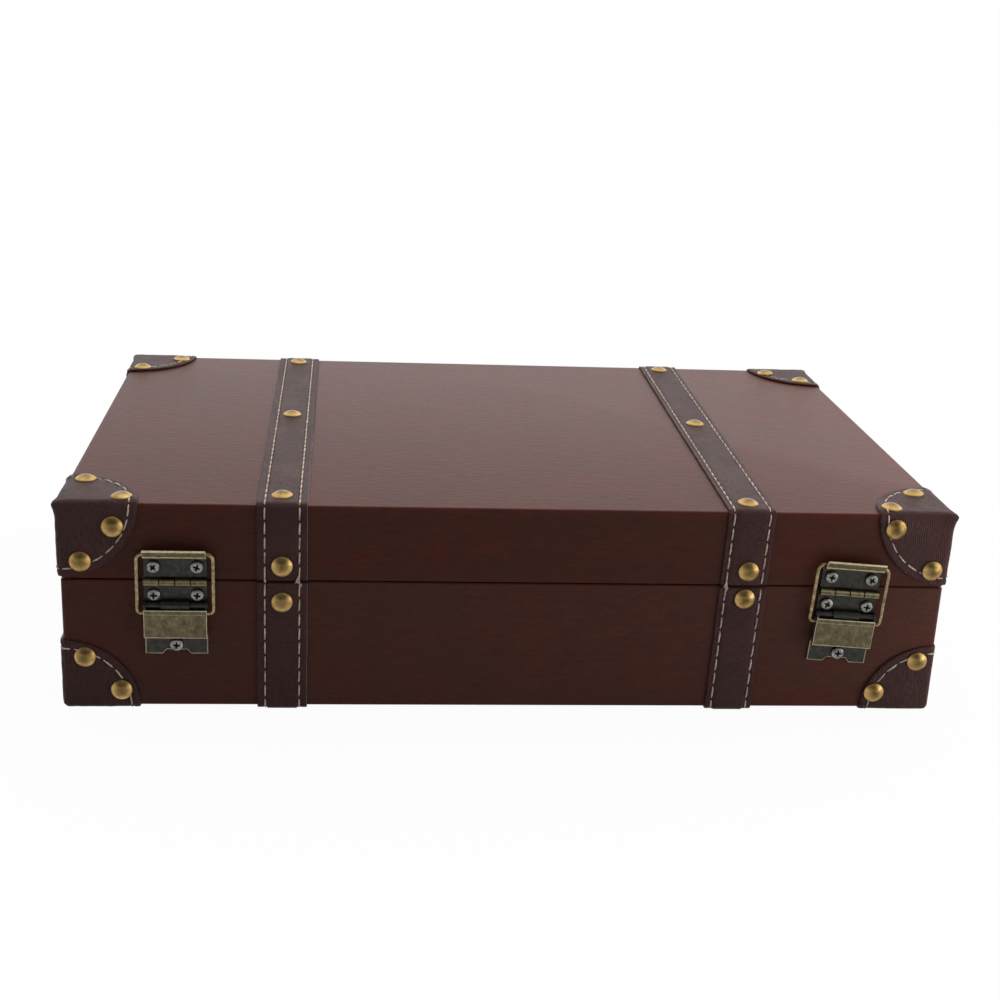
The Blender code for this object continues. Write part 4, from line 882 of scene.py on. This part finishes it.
def strap_route(floor_z, turn, rim_z, rim_x, edge_x, back_x):
    """Stations up the front, over the closed side and down the back, with outward normals."""
    edge_z = floor_z + turn * EDGE_RADIUS
    flat_z = floor_z - turn * GAP
    near_y, far_y = FRONT_Y + EDGE_RADIUS, BACK_Y - EDGE_RADIUS
    stations = []

    def run(start, end, *normal):
        start, end = Vector(start), Vector(end)
        count = max(1, ceil((end - start).length / STRAP_STATION))
        for number in range(count):
            stations.append((start.lerp(end, number / count), Vector(normal)))

    def bend(x, centre_y, first):
        for angle in turns(first)[:-1]:
            normal = Vector((0.0, cos(angle), turn * sin(angle)))
            stations.append((Vector((x, centre_y, edge_z)) + (EDGE_RADIUS + GAP) * normal, normal))

    run((rim_x, FRONT_Y - GAP, rim_z), (edge_x, FRONT_Y - GAP, edge_z), 0.0, -1.0, 0.0)
    bend(edge_x, near_y, 2)
    run((edge_x, near_y, flat_z), (back_x, far_y, flat_z), 0.0, 0.0, -turn)
    bend(back_x, far_y, 3)
    run((back_x, BACK_Y + GAP, edge_z), (back_x, BACK_Y + GAP, rim_z), 0.0, 1.0, 0.0)
    stations.append((Vector((back_x, BACK_Y + GAP, rim_z)), Vector((0.0, 1.0, 0.0))))
    return stations


def strap_section(width, seam):
    """Half of a strap's section as (across, rise) pairs, from its edge to its middle."""
    half = width / 2
    crown = half - STRAP_CROWN_INSET
    edge = STRAP_EDGE_THICKNESS
    inner = seam - STRAP_SEAM_SIDE
    points = [(half, 0.0)]
    points += arc((half - STRAP_EDGE_ROUND, edge - STRAP_EDGE_ROUND), STRAP_EDGE_ROUND, 0, 90, 4)
    points += [
        (seam + STRAP_SHOULDER, edge + STRAP_SHOULDER_RISE),
        (seam + STRAP_SEAM_SIDE, edge - STRAP_SEAM_DIP / 3),
        (seam, edge - STRAP_SEAM_DIP), (inner, edge - STRAP_SEAM_DIP / 4),
    ]
    for share in (0.30, 0.62, 0.86, 1.0):
        rise = (STRAP_THICKNESS - edge) * (1 - cos(pi * share)) / 2
        points.append((inner - (inner - crown) * share, edge + rise))
    return points + [(crown * 0.6, STRAP_THICKNESS), (crown * 0.2, STRAP_THICKNESS)]


def lifted(place, normal, across, rise):
    """A point on a strap, which is thicker under the box, where it carries the weight."""
    swell = 1.0 + STRAP_FOOT_SWELL * max(0.0, -normal.z)
    return place + Vector((across, 0.0, 0.0)) + normal * rise * swell


def add_strap(body, word, route, nails, seed):
    """A stitched strap round a tray, with its nails."""
    width = STRAP_WIDTH[word]
    seam = width / 2 - STRAP_SEAM_INSET[word]
    stations = strap_route(*route)
    half = strap_section(width, seam)
    section = half + [(-across, rise) for across, rise in reversed(half)]

    def build(shape):
        rings = []
        for number, (place, normal) in enumerate(stations):
            ring = []
            for across, rise in section:
                side = 1 if across > 0 else -1
                wobble = noise.noise(Vector((number * 0.55, seed + side * 7.3, 0.0))) * STRAP_WOBBLE
                across += wobble * min(abs(across) / (width / 2), 1.0) ** 4
                ring.append(lifted(place, normal, across, rise))
            rings.append(ring)
        skin(shape, rings)

    name = f"{body}_{word}_strap"
    materials = [STRAP, CUT, EDGE_HIGHLIGHT]
    strap = add_piece(name + "_leather", build, body, materials, [name], 45)
    _, _, rim_z, rim_x, _, _ = route
    for face in strap.data.polygons:
        if abs(face.normal.z) > 0.9 and abs(face.center.z - rim_z) < STRAP_EDGE_ROUND:
            face.material_index = 1
        # The left strap's right edge takes the painted highlight.
        elif word == "left" and face.normal.x > 0.35 and face.center.x > rim_x + width / 2 - 0.0007:
            face.material_index = 2

    lift = STRAP_EDGE_THICKNESS - STRAP_SEAM_DIP
    walks = [Walk([(lifted(p, n, side, lift), n) for p, n in stations]) for side in (-seam, seam)]
    add_stitching(name + "_stitches", body, walks, (STITCH_SKEW * 0.4, STITCH_SKEW), seed)
    add_nails(name + "_nails", body, nails, seed)


def add_straps():
    """Both straps round the base and both round the lid, with their nails."""
    for number, word in enumerate(("left", "right")):
        rim_x, front_x, foot_x, back_x = STRAP_MIDDLE[word]
        edges = {"base": foot_x, "lid": front_x}
        for body, floor_z, turn, rim_z in TRAYS:
            height, shift = STRAP_NAILS[word, body]
            height += SEAM_Z
            nails = [
                ((rim_x + shift, FRONT_Y - STRAP_FACE, height), (0.0, -1.0, 0.0)),
                ((back_x, BACK_Y + STRAP_FACE, height), (0.0, 1.0, 0.0)),
            ]
            if body == "lid":
                nails += strap_top_nails(word, front_x, back_x)
            route = (floor_z, turn, rim_z - turn * STRAP_END_SETBACK, rim_x, edges[body], back_x)
            add_strap(body, word, route, nails, SEEDS[body] + number)
        seam = STRAP_WIDTH[word] / 2 - STRAP_SEAM_INSET[word]
        for body, _, turn, rim_z in reversed(TRAYS):
            add_tufts(body, word, rim_x, seam, rim_z, turn, SEEDS["tufts"] + number)


def strap_top_nails(word, front_x, back_x):
    """The three nails of a strap on the lid's top."""
    near = STRAP_TOP_NAIL_INSET[word] / BODY_DEPTH
    height = TOP_Z + STRAP_FACE - TOP_NAIL_SINK
    nails = []
    for share in (near, STRAP_MIDDLE_NAIL_SHARE[word], 1 - STRAP_BACK_NAIL_INSET / BODY_DEPTH):
        x = front_x + (back_x - front_x) * share - STRAP_TOP_NAIL_SHIFT
        nails.append(((x, FRONT_Y + BODY_DEPTH * share, height), (0.0, 0.0, 1.0)))
    return nails


def add_tufts(body, word, rim_x, seam, cut_z, way, seed):
    """Frayed thread ends where a strap was cut: fine fibres that fan out from the last stitch."""
    chance = random.Random(seed)
    face_y = FRONT_Y - GAP - STRAP_EDGE_THICKNESS

    def build(shape):
        for row, size, slant in TUFT_ENDS[word, body]:
            root = Vector((rim_x + row * seam, face_y, cut_z - way * TUFT_LENGTH * size * 0.9))
            for _ in range(TUFT_THREADS):
                lean = slant + chance.uniform(-TUFT_SPREAD, TUFT_SPREAD)
                out = chance.uniform(0.10, 0.30)
                length = TUFT_LENGTH * size * chance.uniform(0.75, 1.0)
                points = []
                for step in range(TUFT_STEPS + 1):
                    share = step / TUFT_STEPS
                    side = lean * length * share + chance.uniform(-1, 1) * TUFT_RADIUS * share
                    away = -out * length * share - STITCH_RADIUS * 1.6
                    points.append(root + Vector((side, away, way * length * share)))
                radius = TUFT_RADIUS * chance.uniform(0.7, 1.2)
                sweep(shape, points, radius, TUFT_SIDES, (0.0, 1.0, 0.0))

    name = f"{body}_{word}_strap_tufts"
    add_piece(name, build, body, [THREAD], angle=70)


class Corner:
    """One leather corner: its place, its reach on each face and the way out along each axis."""

    def __init__(self, body, depth_word, side_word):
        self.body = body
        self.name = f"{body}_{depth_word}_{side_word}_corner"
        self.lid = body == "lid"
        right, back = side_word == "right", depth_word == "back"
        self.out = Vector((1 if right else -1, 1 if back else -1, 1 if self.lid else -1))
        self.origin = Vector((
            RIGHT_X if right else LEFT_X, BACK_Y if back else FRONT_Y, TOP_Z if self.lid else BODY_BOTTOM,
        ))
        self.reach = PAD_REACH[body]
        self.flush = FLUSH_SHARE if right and not self.lid else 0.0

    def at(self, share, turn, height):
        """A point over the box's rounded surface and its normal; turn runs from 0 to 3 round the faces."""
        first = int(turn) % 3
        second = (first + 1) % 3
        angle = (turn - int(turn)) * pi / 2
        local = Vector((0.0, 0.0, 0.0))
        local[first] = share * self.reach[first] * cos(angle)
        local[second] = share * self.reach[second] * sin(angle)
        kept = Vector([max(value, EDGE_RADIUS) for value in local])
        normal = (local - kept).normalized()
        height -= self.flush * (height - GAP / 3) * abs(normal.x)
        place = kept + normal * (EDGE_RADIUS + height)
        if self.lid:
            near = max(0.0, 1.0 - local.length / PAD_TIP_SPREAD)
            place -= PAD_TIP_LEAN * (PAD_TIP_REACH * near ** 2 * (height + GAP) / PAD_FACE)
        return self.origin - place * self.out, -normal * self.out

    def height_at(self, share, turn, seed):
        """The leather's height, with its rolled edge, the groove of its seam and a slight unevenness."""
        inset = (1.0 - share) * self.reach[0]
        height = PAD_FACE
        if inset < PAD_ROUND:
            height -= PAD_ROUND * (1 - sqrt(max(0.0, 1 - (1 - inset / PAD_ROUND) ** 2)))
        dip = exp(-((inset - PAD_SEAM_INSET) / PAD_SEAM_WIDTH) ** 2)
        swell = exp(-((inset - PAD_SEAM_INSET / 2) / PAD_SWELL_WIDTH) ** 2)
        ripple = noise.noise(Vector((turn * 6.0, share * 9.0, seed * 3.1)))
        return height - PAD_SEAM_DIP * dip + PAD_SWELL * swell + PAD_SWELL * ripple


def add_corner(corner, seed):
    """A leather corner with a rolled edge, its stitches and its nails."""
    shares = [1.0 - PAD_ROUND / corner.reach[0] * (1 - cos(pi / 2 * step / 5)) for step in range(6)]
    inner = shares[-1]
    rings = PAD_RINGS - len(shares)
    shares += [inner * (1 - (step + 1) / rings) for step in range(rings - 1)]
    columns = [column / PAD_COLUMNS for column in range(3 * PAD_COLUMNS)]

    def build(shape):
        top = [[corner.at(share, t, corner.height_at(share, t, seed)) for t in columns] for share in shares]
        top.append([corner.at(PAD_PEAK_SHARE, 0.5, PAD_FACE)])
        under = [[corner.at(share, t, GAP) for t in columns] for share in PAD_UNDER_SHARES]
        under.append([corner.at(PAD_PEAK_SHARE, 0.5, GAP)])
        top, under = [
            [[shape.verts.new(place) for place, _ in ring] for ring in stack] for stack in (top, under)
        ]
        for stack in (top, under, (top[0], under[0])):
            bridge(shape, stack)

    name, body = corner.name, corner.body
    add_piece(name + "_leather", build, body, [PAD], [name], 60)
    share = 1.0 - PAD_SEAM_INSET / corner.reach[0]
    count = 6 * PAD_COLUMNS
    places = [corner.at(share, 3 * index / count, PAD_FACE - PAD_SEAM_DIP) for index in range(count)]
    add_stitching(name + "_stitches", body, [Walk(places + places[:1])], [STITCH_SKEW * 0.5], seed)
    add_nails(name + "_nails", body, corner_nails(corner), seed)


def corner_nails(corner):
    """Nail places round one corner: two on each upright face and two on the lid's top."""
    side_x, side_y, side_z = corner.out
    x, y, z = corner.origin
    nails = []
    for along, inward in SIDE_NAILS[corner.body, side_x]:
        height = z - side_z * inward
        end_along = max(along, END_NAIL_SIDE)
        nails.append(((x - side_x * along, y + side_y * PAD_FACE, height), (0.0, side_y, 0.0)))
        nails.append(((x + side_x * PAD_FACE, y - side_y * end_along, height), (side_x, 0.0, 0.0)))
    if corner.lid:
        for across, along in TOP_NAILS[side_x, side_y]:
            place = (x - side_x * across, y - side_y * along, TOP_Z + PAD_FACE - TOP_NAIL_SINK)
            nails.append((place, (0.0, 0.0, 1.0)))
    return nails


def joint_of(name):
    return next(joint for joint in frame["joints"] if joint["name"] == name)


def latch_frame(side):
    """A latch's own axes, with the lever's pin as their origin."""
    joint = joint_of(side + "_lever_hinge")
    across = -Vector(joint["axis"]).normalized()
    out = Vector((0.0, 1.0, 0.0))
    axes = Matrix((across, out, across.cross(out).normalized())).transposed()
    return Matrix.Translation(joint["pos_m"]) @ axes.to_4x4()


def add_sheet_metal(node, body, materials, back, pick, worn):
    """A finer copy of a CAD sheet metal piece, with worn bright edges in some places.

    Back turns world places into the piece's own axes, which its material reads.
    """
    shape = bmesh.new()
    shape.from_mesh(frame["nodes"][node].data)
    bmesh.ops.remove_doubles(shape, verts=shape.verts, dist=0.000002)
    bmesh.ops.dissolve_limit(shape, angle_limit=radians(1.5), verts=shape.verts, edges=shape.edges)
    layer = shape.verts.layers.float_vector.new("place")
    for vert in shape.verts:
        vert[layer] = back @ vert.co
    weights = shape.edges.layers.float.new("bevel_weight_edge")
    for edge in shape.edges:
        sharp = len(edge.link_faces) == 2 and edge.calc_face_angle(0.0) > radians(50)
        middle = back @ ((edge.verts[0].co + edge.verts[1].co) / 2)
        edge[weights] = 1.0 if sharp and worn(middle) else 0.0
    for face in shape.faces:
        face.material_index = 1 if pick(back @ face.calc_center_median()) else 0
    mesh = bpy.data.meshes.new(node + "_metal")
    shape.to_mesh(mesh)
    shape.free()
    piece = add_piece(node + "_metal", mesh, body, materials, [node], 42)
    rounding = piece.modifiers.new("worn_edges", "BEVEL")
    rounding.width = EDGE_BEVEL
    rounding.segments = 2
    rounding.limit_method = "WEIGHT"
    rounding.material = len(materials) - 1
    rounding.harden_normals = False


def cross_plan():
    """The outline of a cross recess, one arm at a time."""
    long, wide, narrow = CROSS_HALF_LENGTH, CROSS_HALF_WIDTH, CROSS_HALF_WIDTH * 0.6
    arm = [(long, -narrow), (long, narrow), (wide, wide)]
    plan = []
    for _ in range(4):
        plan += arm
        arm = [(-y, x) for x, y in arm]
    return plan


def screw_head():
    """The mesh of a round screw with a cross recess."""
    crown = SCREW_HEAD_HEIGHT * 0.55
    shoulder = SCREW_HEAD_HEIGHT - crown
    profile = SCREW_SHANK + [(SCREW_HEAD_RADIUS - 0.0001, 0.0), (SCREW_HEAD_RADIUS, 0.0001)]
    profile.append((SCREW_HEAD_RADIUS, shoulder))
    for step in range(1, 7):
        angle = radians(15 * step)
        profile.append((SCREW_HEAD_RADIUS * (0.50 + 0.50 * cos(angle)), shoulder + crown * sin(angle)))
    profile.append((0.0, SCREW_HEAD_HEIGHT))
    matrix = facing((0.0, -1.0, 0.0))
    levels = ((SCREW_HEAD_HEIGHT - CROSS_DEPTH, 0.55), (SCREW_HEAD_HEIGHT + CROSS_DEPTH, 1.35))
    rings = [[matrix @ Vector((x * size, y * size, z)) for x, y in cross_plan()] for z, size in levels]
    body = mesh_of("screw_blank", lambda shape: turned(shape, profile, SCREW_SIDES, matrix))
    blank = link("screw_blank", body)
    tool = link("screw_cross", mesh_of("screw_cross", lambda shape: skin(shape, rings)))
    blank.data.materials.append(SCREW_STEEL)
    # The cross recess is painted near-black as shade.
    tool.data.materials.append(HOLE_SHADE)
    cut = blank.modifiers.new("cross", "BOOLEAN")
    cut.object = tool
    cut.solver = "EXACT"
    cut.material_mode = "TRANSFER"
    head = bpy.data.meshes.new_from_object(blank.evaluated_get(bpy.context.evaluated_depsgraph_get()))
    for item in (blank, tool):
        bpy.data.objects.remove(item, do_unlink=True)
    return head


def add_screws():
    """A round head with a cross recess in each CAD screw's place."""
    head = screw_head()
    for body, members in frame["record"]["behaviour"]["bodies"].items():
        for node in members:
            if "_screw_" not in node:
                continue
            low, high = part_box(node)
            middle = (low + high) / 2
            if "hinge" in node:
                seat, way, turn = high.y - SCREW_HEAD_HEIGHT, pi, HINGE_SCREW_TURN * (1 + int(node[-1]))
            else:
                seat, way, turn = low.y + SCREW_HEAD_HEIGHT, 0.0, SCREW_TURNS[node]
            spin = Matrix.Rotation(way, 4, "Z") @ Matrix.Rotation(radians(turn), 4, "Y")
            mesh = head.copy()
            mesh.transform(Matrix.Translation((middle.x, seat, middle.z)) @ spin)
            add_piece(node + "_steel", mesh, body, [], [node], 40)


def add_pin(node, matrix, material, radius):
    """A round pin with peened ends in a CAD pin's place, along the matrix's X axis."""
    low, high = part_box(node)
    length = (high - low).x / 2
    head, neck = PIN_HEAD_RADIUS, length - PIN_HEAD_THICKNESS
    half = [
        (0.0, length), (head - PIN_ROUND * 3, length), (head, length - PIN_ROUND * 2), (head, neck),
        (radius, neck),
    ]
    profile = [(across, -along) for across, along in half] + half[::-1]
    place = Matrix.Translation((low + high) / 2) @ matrix.to_3x3().to_4x4() @ facing((1.0, 0.0, 0.0))
    add_piece(
        node + "_metal", lambda shape: turned(shape, profile, PIN_SIDES, place), "base",
        [material], [node], 40,
    )


def on_band(place):
    knuckle = abs(place.z - PIVOT_DROP) < KNUCKLE_REACH and PIVOT_OUT - place.y > KNUCKLE_BACK
    return place.z > BAND_LOW or knuckle


def on_hook_or_tab(place):
    return place.z > BAND_LOW or place.z < TAB_TOP


def on_ear(place):
    return place.z > EAR_LOW


def add_latch(side):
    """One toggle latch: keeper, plate, lever, pin and wire bail."""
    matrix = latch_frame(side)
    back = matrix.inverted()
    metals = [PLATE, BAND_BRASS, BRIGHT_EDGE]
    for word, body in (("_keeper", "lid"), ("_latch_plate", "base")):
        add_sheet_metal(side + word, body, metals, back, on_band, on_hook_or_tab)
    add_sheet_metal(
        side + "_lever", side + "_lever", [LEVER_BRASS, PLATE, BRIGHT_EDGE], back, on_ear,
        lambda place: not on_ear(place),
    )
    add_pin(side + "_lever_pin", matrix, PLATE, LEVER_PIN_RADIUS)
    add_bail(side + "_bail", matrix)


def add_bail(name, matrix):
    """The wire loop, from one end inside the lever, up and over the hook, to the other end."""
    foot_z = PIVOT_DROP - BAIL_PIVOT_DROP
    bar_rise = HOOK_RISE - BAIL_BAR_DROP + BAIL_PIVOT_DROP
    lean = (BAIL_BAR_OUT - PIVOT_OUT) / bar_rise
    half = [(LATCH_WIDTH / 2 - SHEET_THICKNESS - BAIL_END_OVERRUN, 0.0)]
    half += arc((BAIL_HALF_WIDTH - BAIL_FOOT_RADIUS, BAIL_FOOT_RADIUS), BAIL_FOOT_RADIUS, -90, 0, 8)
    half.append((BAIL_HALF_WIDTH, bar_rise / 2))
    half += arc((BAIL_HALF_WIDTH - BAIL_TOP_RADIUS, bar_rise - BAIL_TOP_RADIUS), BAIL_TOP_RADIUS, 0, 90, 9)
    half.append((0.0, bar_rise))
    loop = half + [(-x, z) for x, z in reversed(half[:-1])]
    points = [matrix @ Vector((x, -lean * z, z + foot_z)) for x, z in loop]
    normal = (matrix.to_3x3() @ Vector((0.0, 1.0, lean))).normalized()
    add_piece(
        name + "_wire", lambda shape: sweep(shape, points, BAIL_WIRE_RADIUS, WIRE_SIDES, normal), name,
        [WIRE_BRASS], [name], 50,
    )


def add_hinge(side):
    """A back hinge: finer leaves and pin."""
    back = Matrix.Translation(joint_of("lid_hinge")["pos_m"]).inverted()
    for body in ("base", "lid"):
        add_sheet_metal(
            f"{side}_hinge_{body}_leaf", body, [HINGE_BRASS, BRIGHT_EDGE], back,
            lambda place: False, lambda place: True,
        )
    add_pin(side + "_hinge_pin", Matrix.Identity(4), HINGE_BRASS, PIN_RADIUS)


def dress_boards():
    """The hidden boards keep their CAD shapes and get real wood."""
    for name, node in frame["nodes"].items():
        if name.endswith(("_board", "_panel")):
            node.data.materials.clear()
            node.data.materials.append(WOOD)


def add_floor():
    """A plain pale floor, which bounces a little less light than it shows."""
    grid = {"x_segments": 1, "y_segments": 1, "size": FLOOR_SIZE / 2}
    mesh = mesh_of("floor", lambda shape: bmesh.ops.create_grid(shape, **grid))
    paint = Paint("floor")
    diffuse = paint.add("LightPath").outputs["Is Diffuse Ray"]
    shade = paint.span(diffuse, 0.0, 1.0, FLOOR_SEEN, FLOOR_BOUNCE)
    mesh.materials.append(paint.finish(shade, 0.9, Specular_IOR_Level=0.0))
    seen = paint.math("MULTIPLY", paint.seen_rays(), FLOOR_LIFT)
    white = paint.add("Emission").outputs[0]
    lifted = paint.add("MixShader", {0: seen, 1: paint.surface.outputs[0], 2: white})
    paint.join(lifted.outputs[0], paint.tree.nodes["Material Output"].inputs["Surface"])
    link("floor", mesh)


def add_light(name, place, aim, size, power):
    """A square soft light aimed at a point."""
    light = bpy.data.lights.new(name, "AREA")
    light.shape = "SQUARE"
    light.size = size
    light.energy = power
    item = link(name, light)
    item.location = place
    item.rotation_euler = (Vector(aim) - Vector(place)).to_track_quat("-Z", "Y").to_euler()


def add_studio():
    """A white room that is brightest above and behind the box, and darker behind the camera."""
    world = bpy.data.worlds.new("studio")
    world.use_nodes = True
    bpy.context.scene.world = world
    sky = Nodes(world.node_tree)
    place = sky.add("TexCoord").outputs["Generated"]
    parts = sky.add("SeparateXYZ", {0: place}).outputs
    lean = sky.add("VectorMath", {0: place, 1: LIGHT_LEAN}, operation="DOT_PRODUCT").outputs["Value"]
    above = sky.span(lean, *LIGHT_FADE, LIGHT_DARKEST, LIGHT_BRIGHTEST, "SMOOTHSTEP")
    sides = sky.span(sky.math("ABSOLUTE", parts["X"]), 0.55, 0.95, 0.0, LIGHT_SIDES, "SMOOTHSTEP")
    near_horizon = sky.span(parts["Z"], 0.10, 0.34, 1.0, 0.0, "SMOOTHSTEP")
    light = sky.math("SMOOTH_MAX", above, sides, LIGHT_BLEND)
    seen = sky.math("MULTIPLY", sky.seen_rays(), near_horizon)
    backdrop = sky.tree.nodes["Background"].inputs
    sky.join(sky.math("SMOOTH_MAX", light, seen, LIGHT_BLEND), backdrop["Strength"])
    sky.join((1.0, 1.0, 1.0), backdrop["Color"])
    for lamp in LAMPS:
        add_light(*lamp)
    bpy.context.scene.view_settings.view_transform = "Standard"


def add_camera():
    """The camera at the photo's viewing angle."""
    camera = bpy.data.cameras.new("camera")
    camera.lens = CAMERA_LENS
    camera.sensor_width = CAMERA_SENSOR
    camera.sensor_fit = "HORIZONTAL"
    camera.clip_end = FLOOR_SIZE * 2
    item = link("camera", camera)
    right = Vector(CAMERA_RIGHT).normalized()
    up = Vector(CAMERA_UP).normalized()
    axes = Matrix((right, up, right.cross(up))).transposed()
    item.matrix_world = Matrix.Translation(CAMERA_PLACE) @ axes.to_4x4()
    bpy.context.scene.camera = item


def main():
    for tray in TRAYS:
        add_cover(*tray)
    for tray in TRAYS:
        add_lining(*tray)
    add_straps()
    places = product(("base", "lid"), ("front", "back"), ("left", "right"))
    for seed, words in enumerate(places, SEEDS["corners"]):
        add_corner(Corner(*words), seed)
    for side in ("left", "right"):
        add_latch(side)
        add_hinge(side)
    add_screws()
    dress_boards()
    add_floor()
    add_studio()
    add_camera()


main()
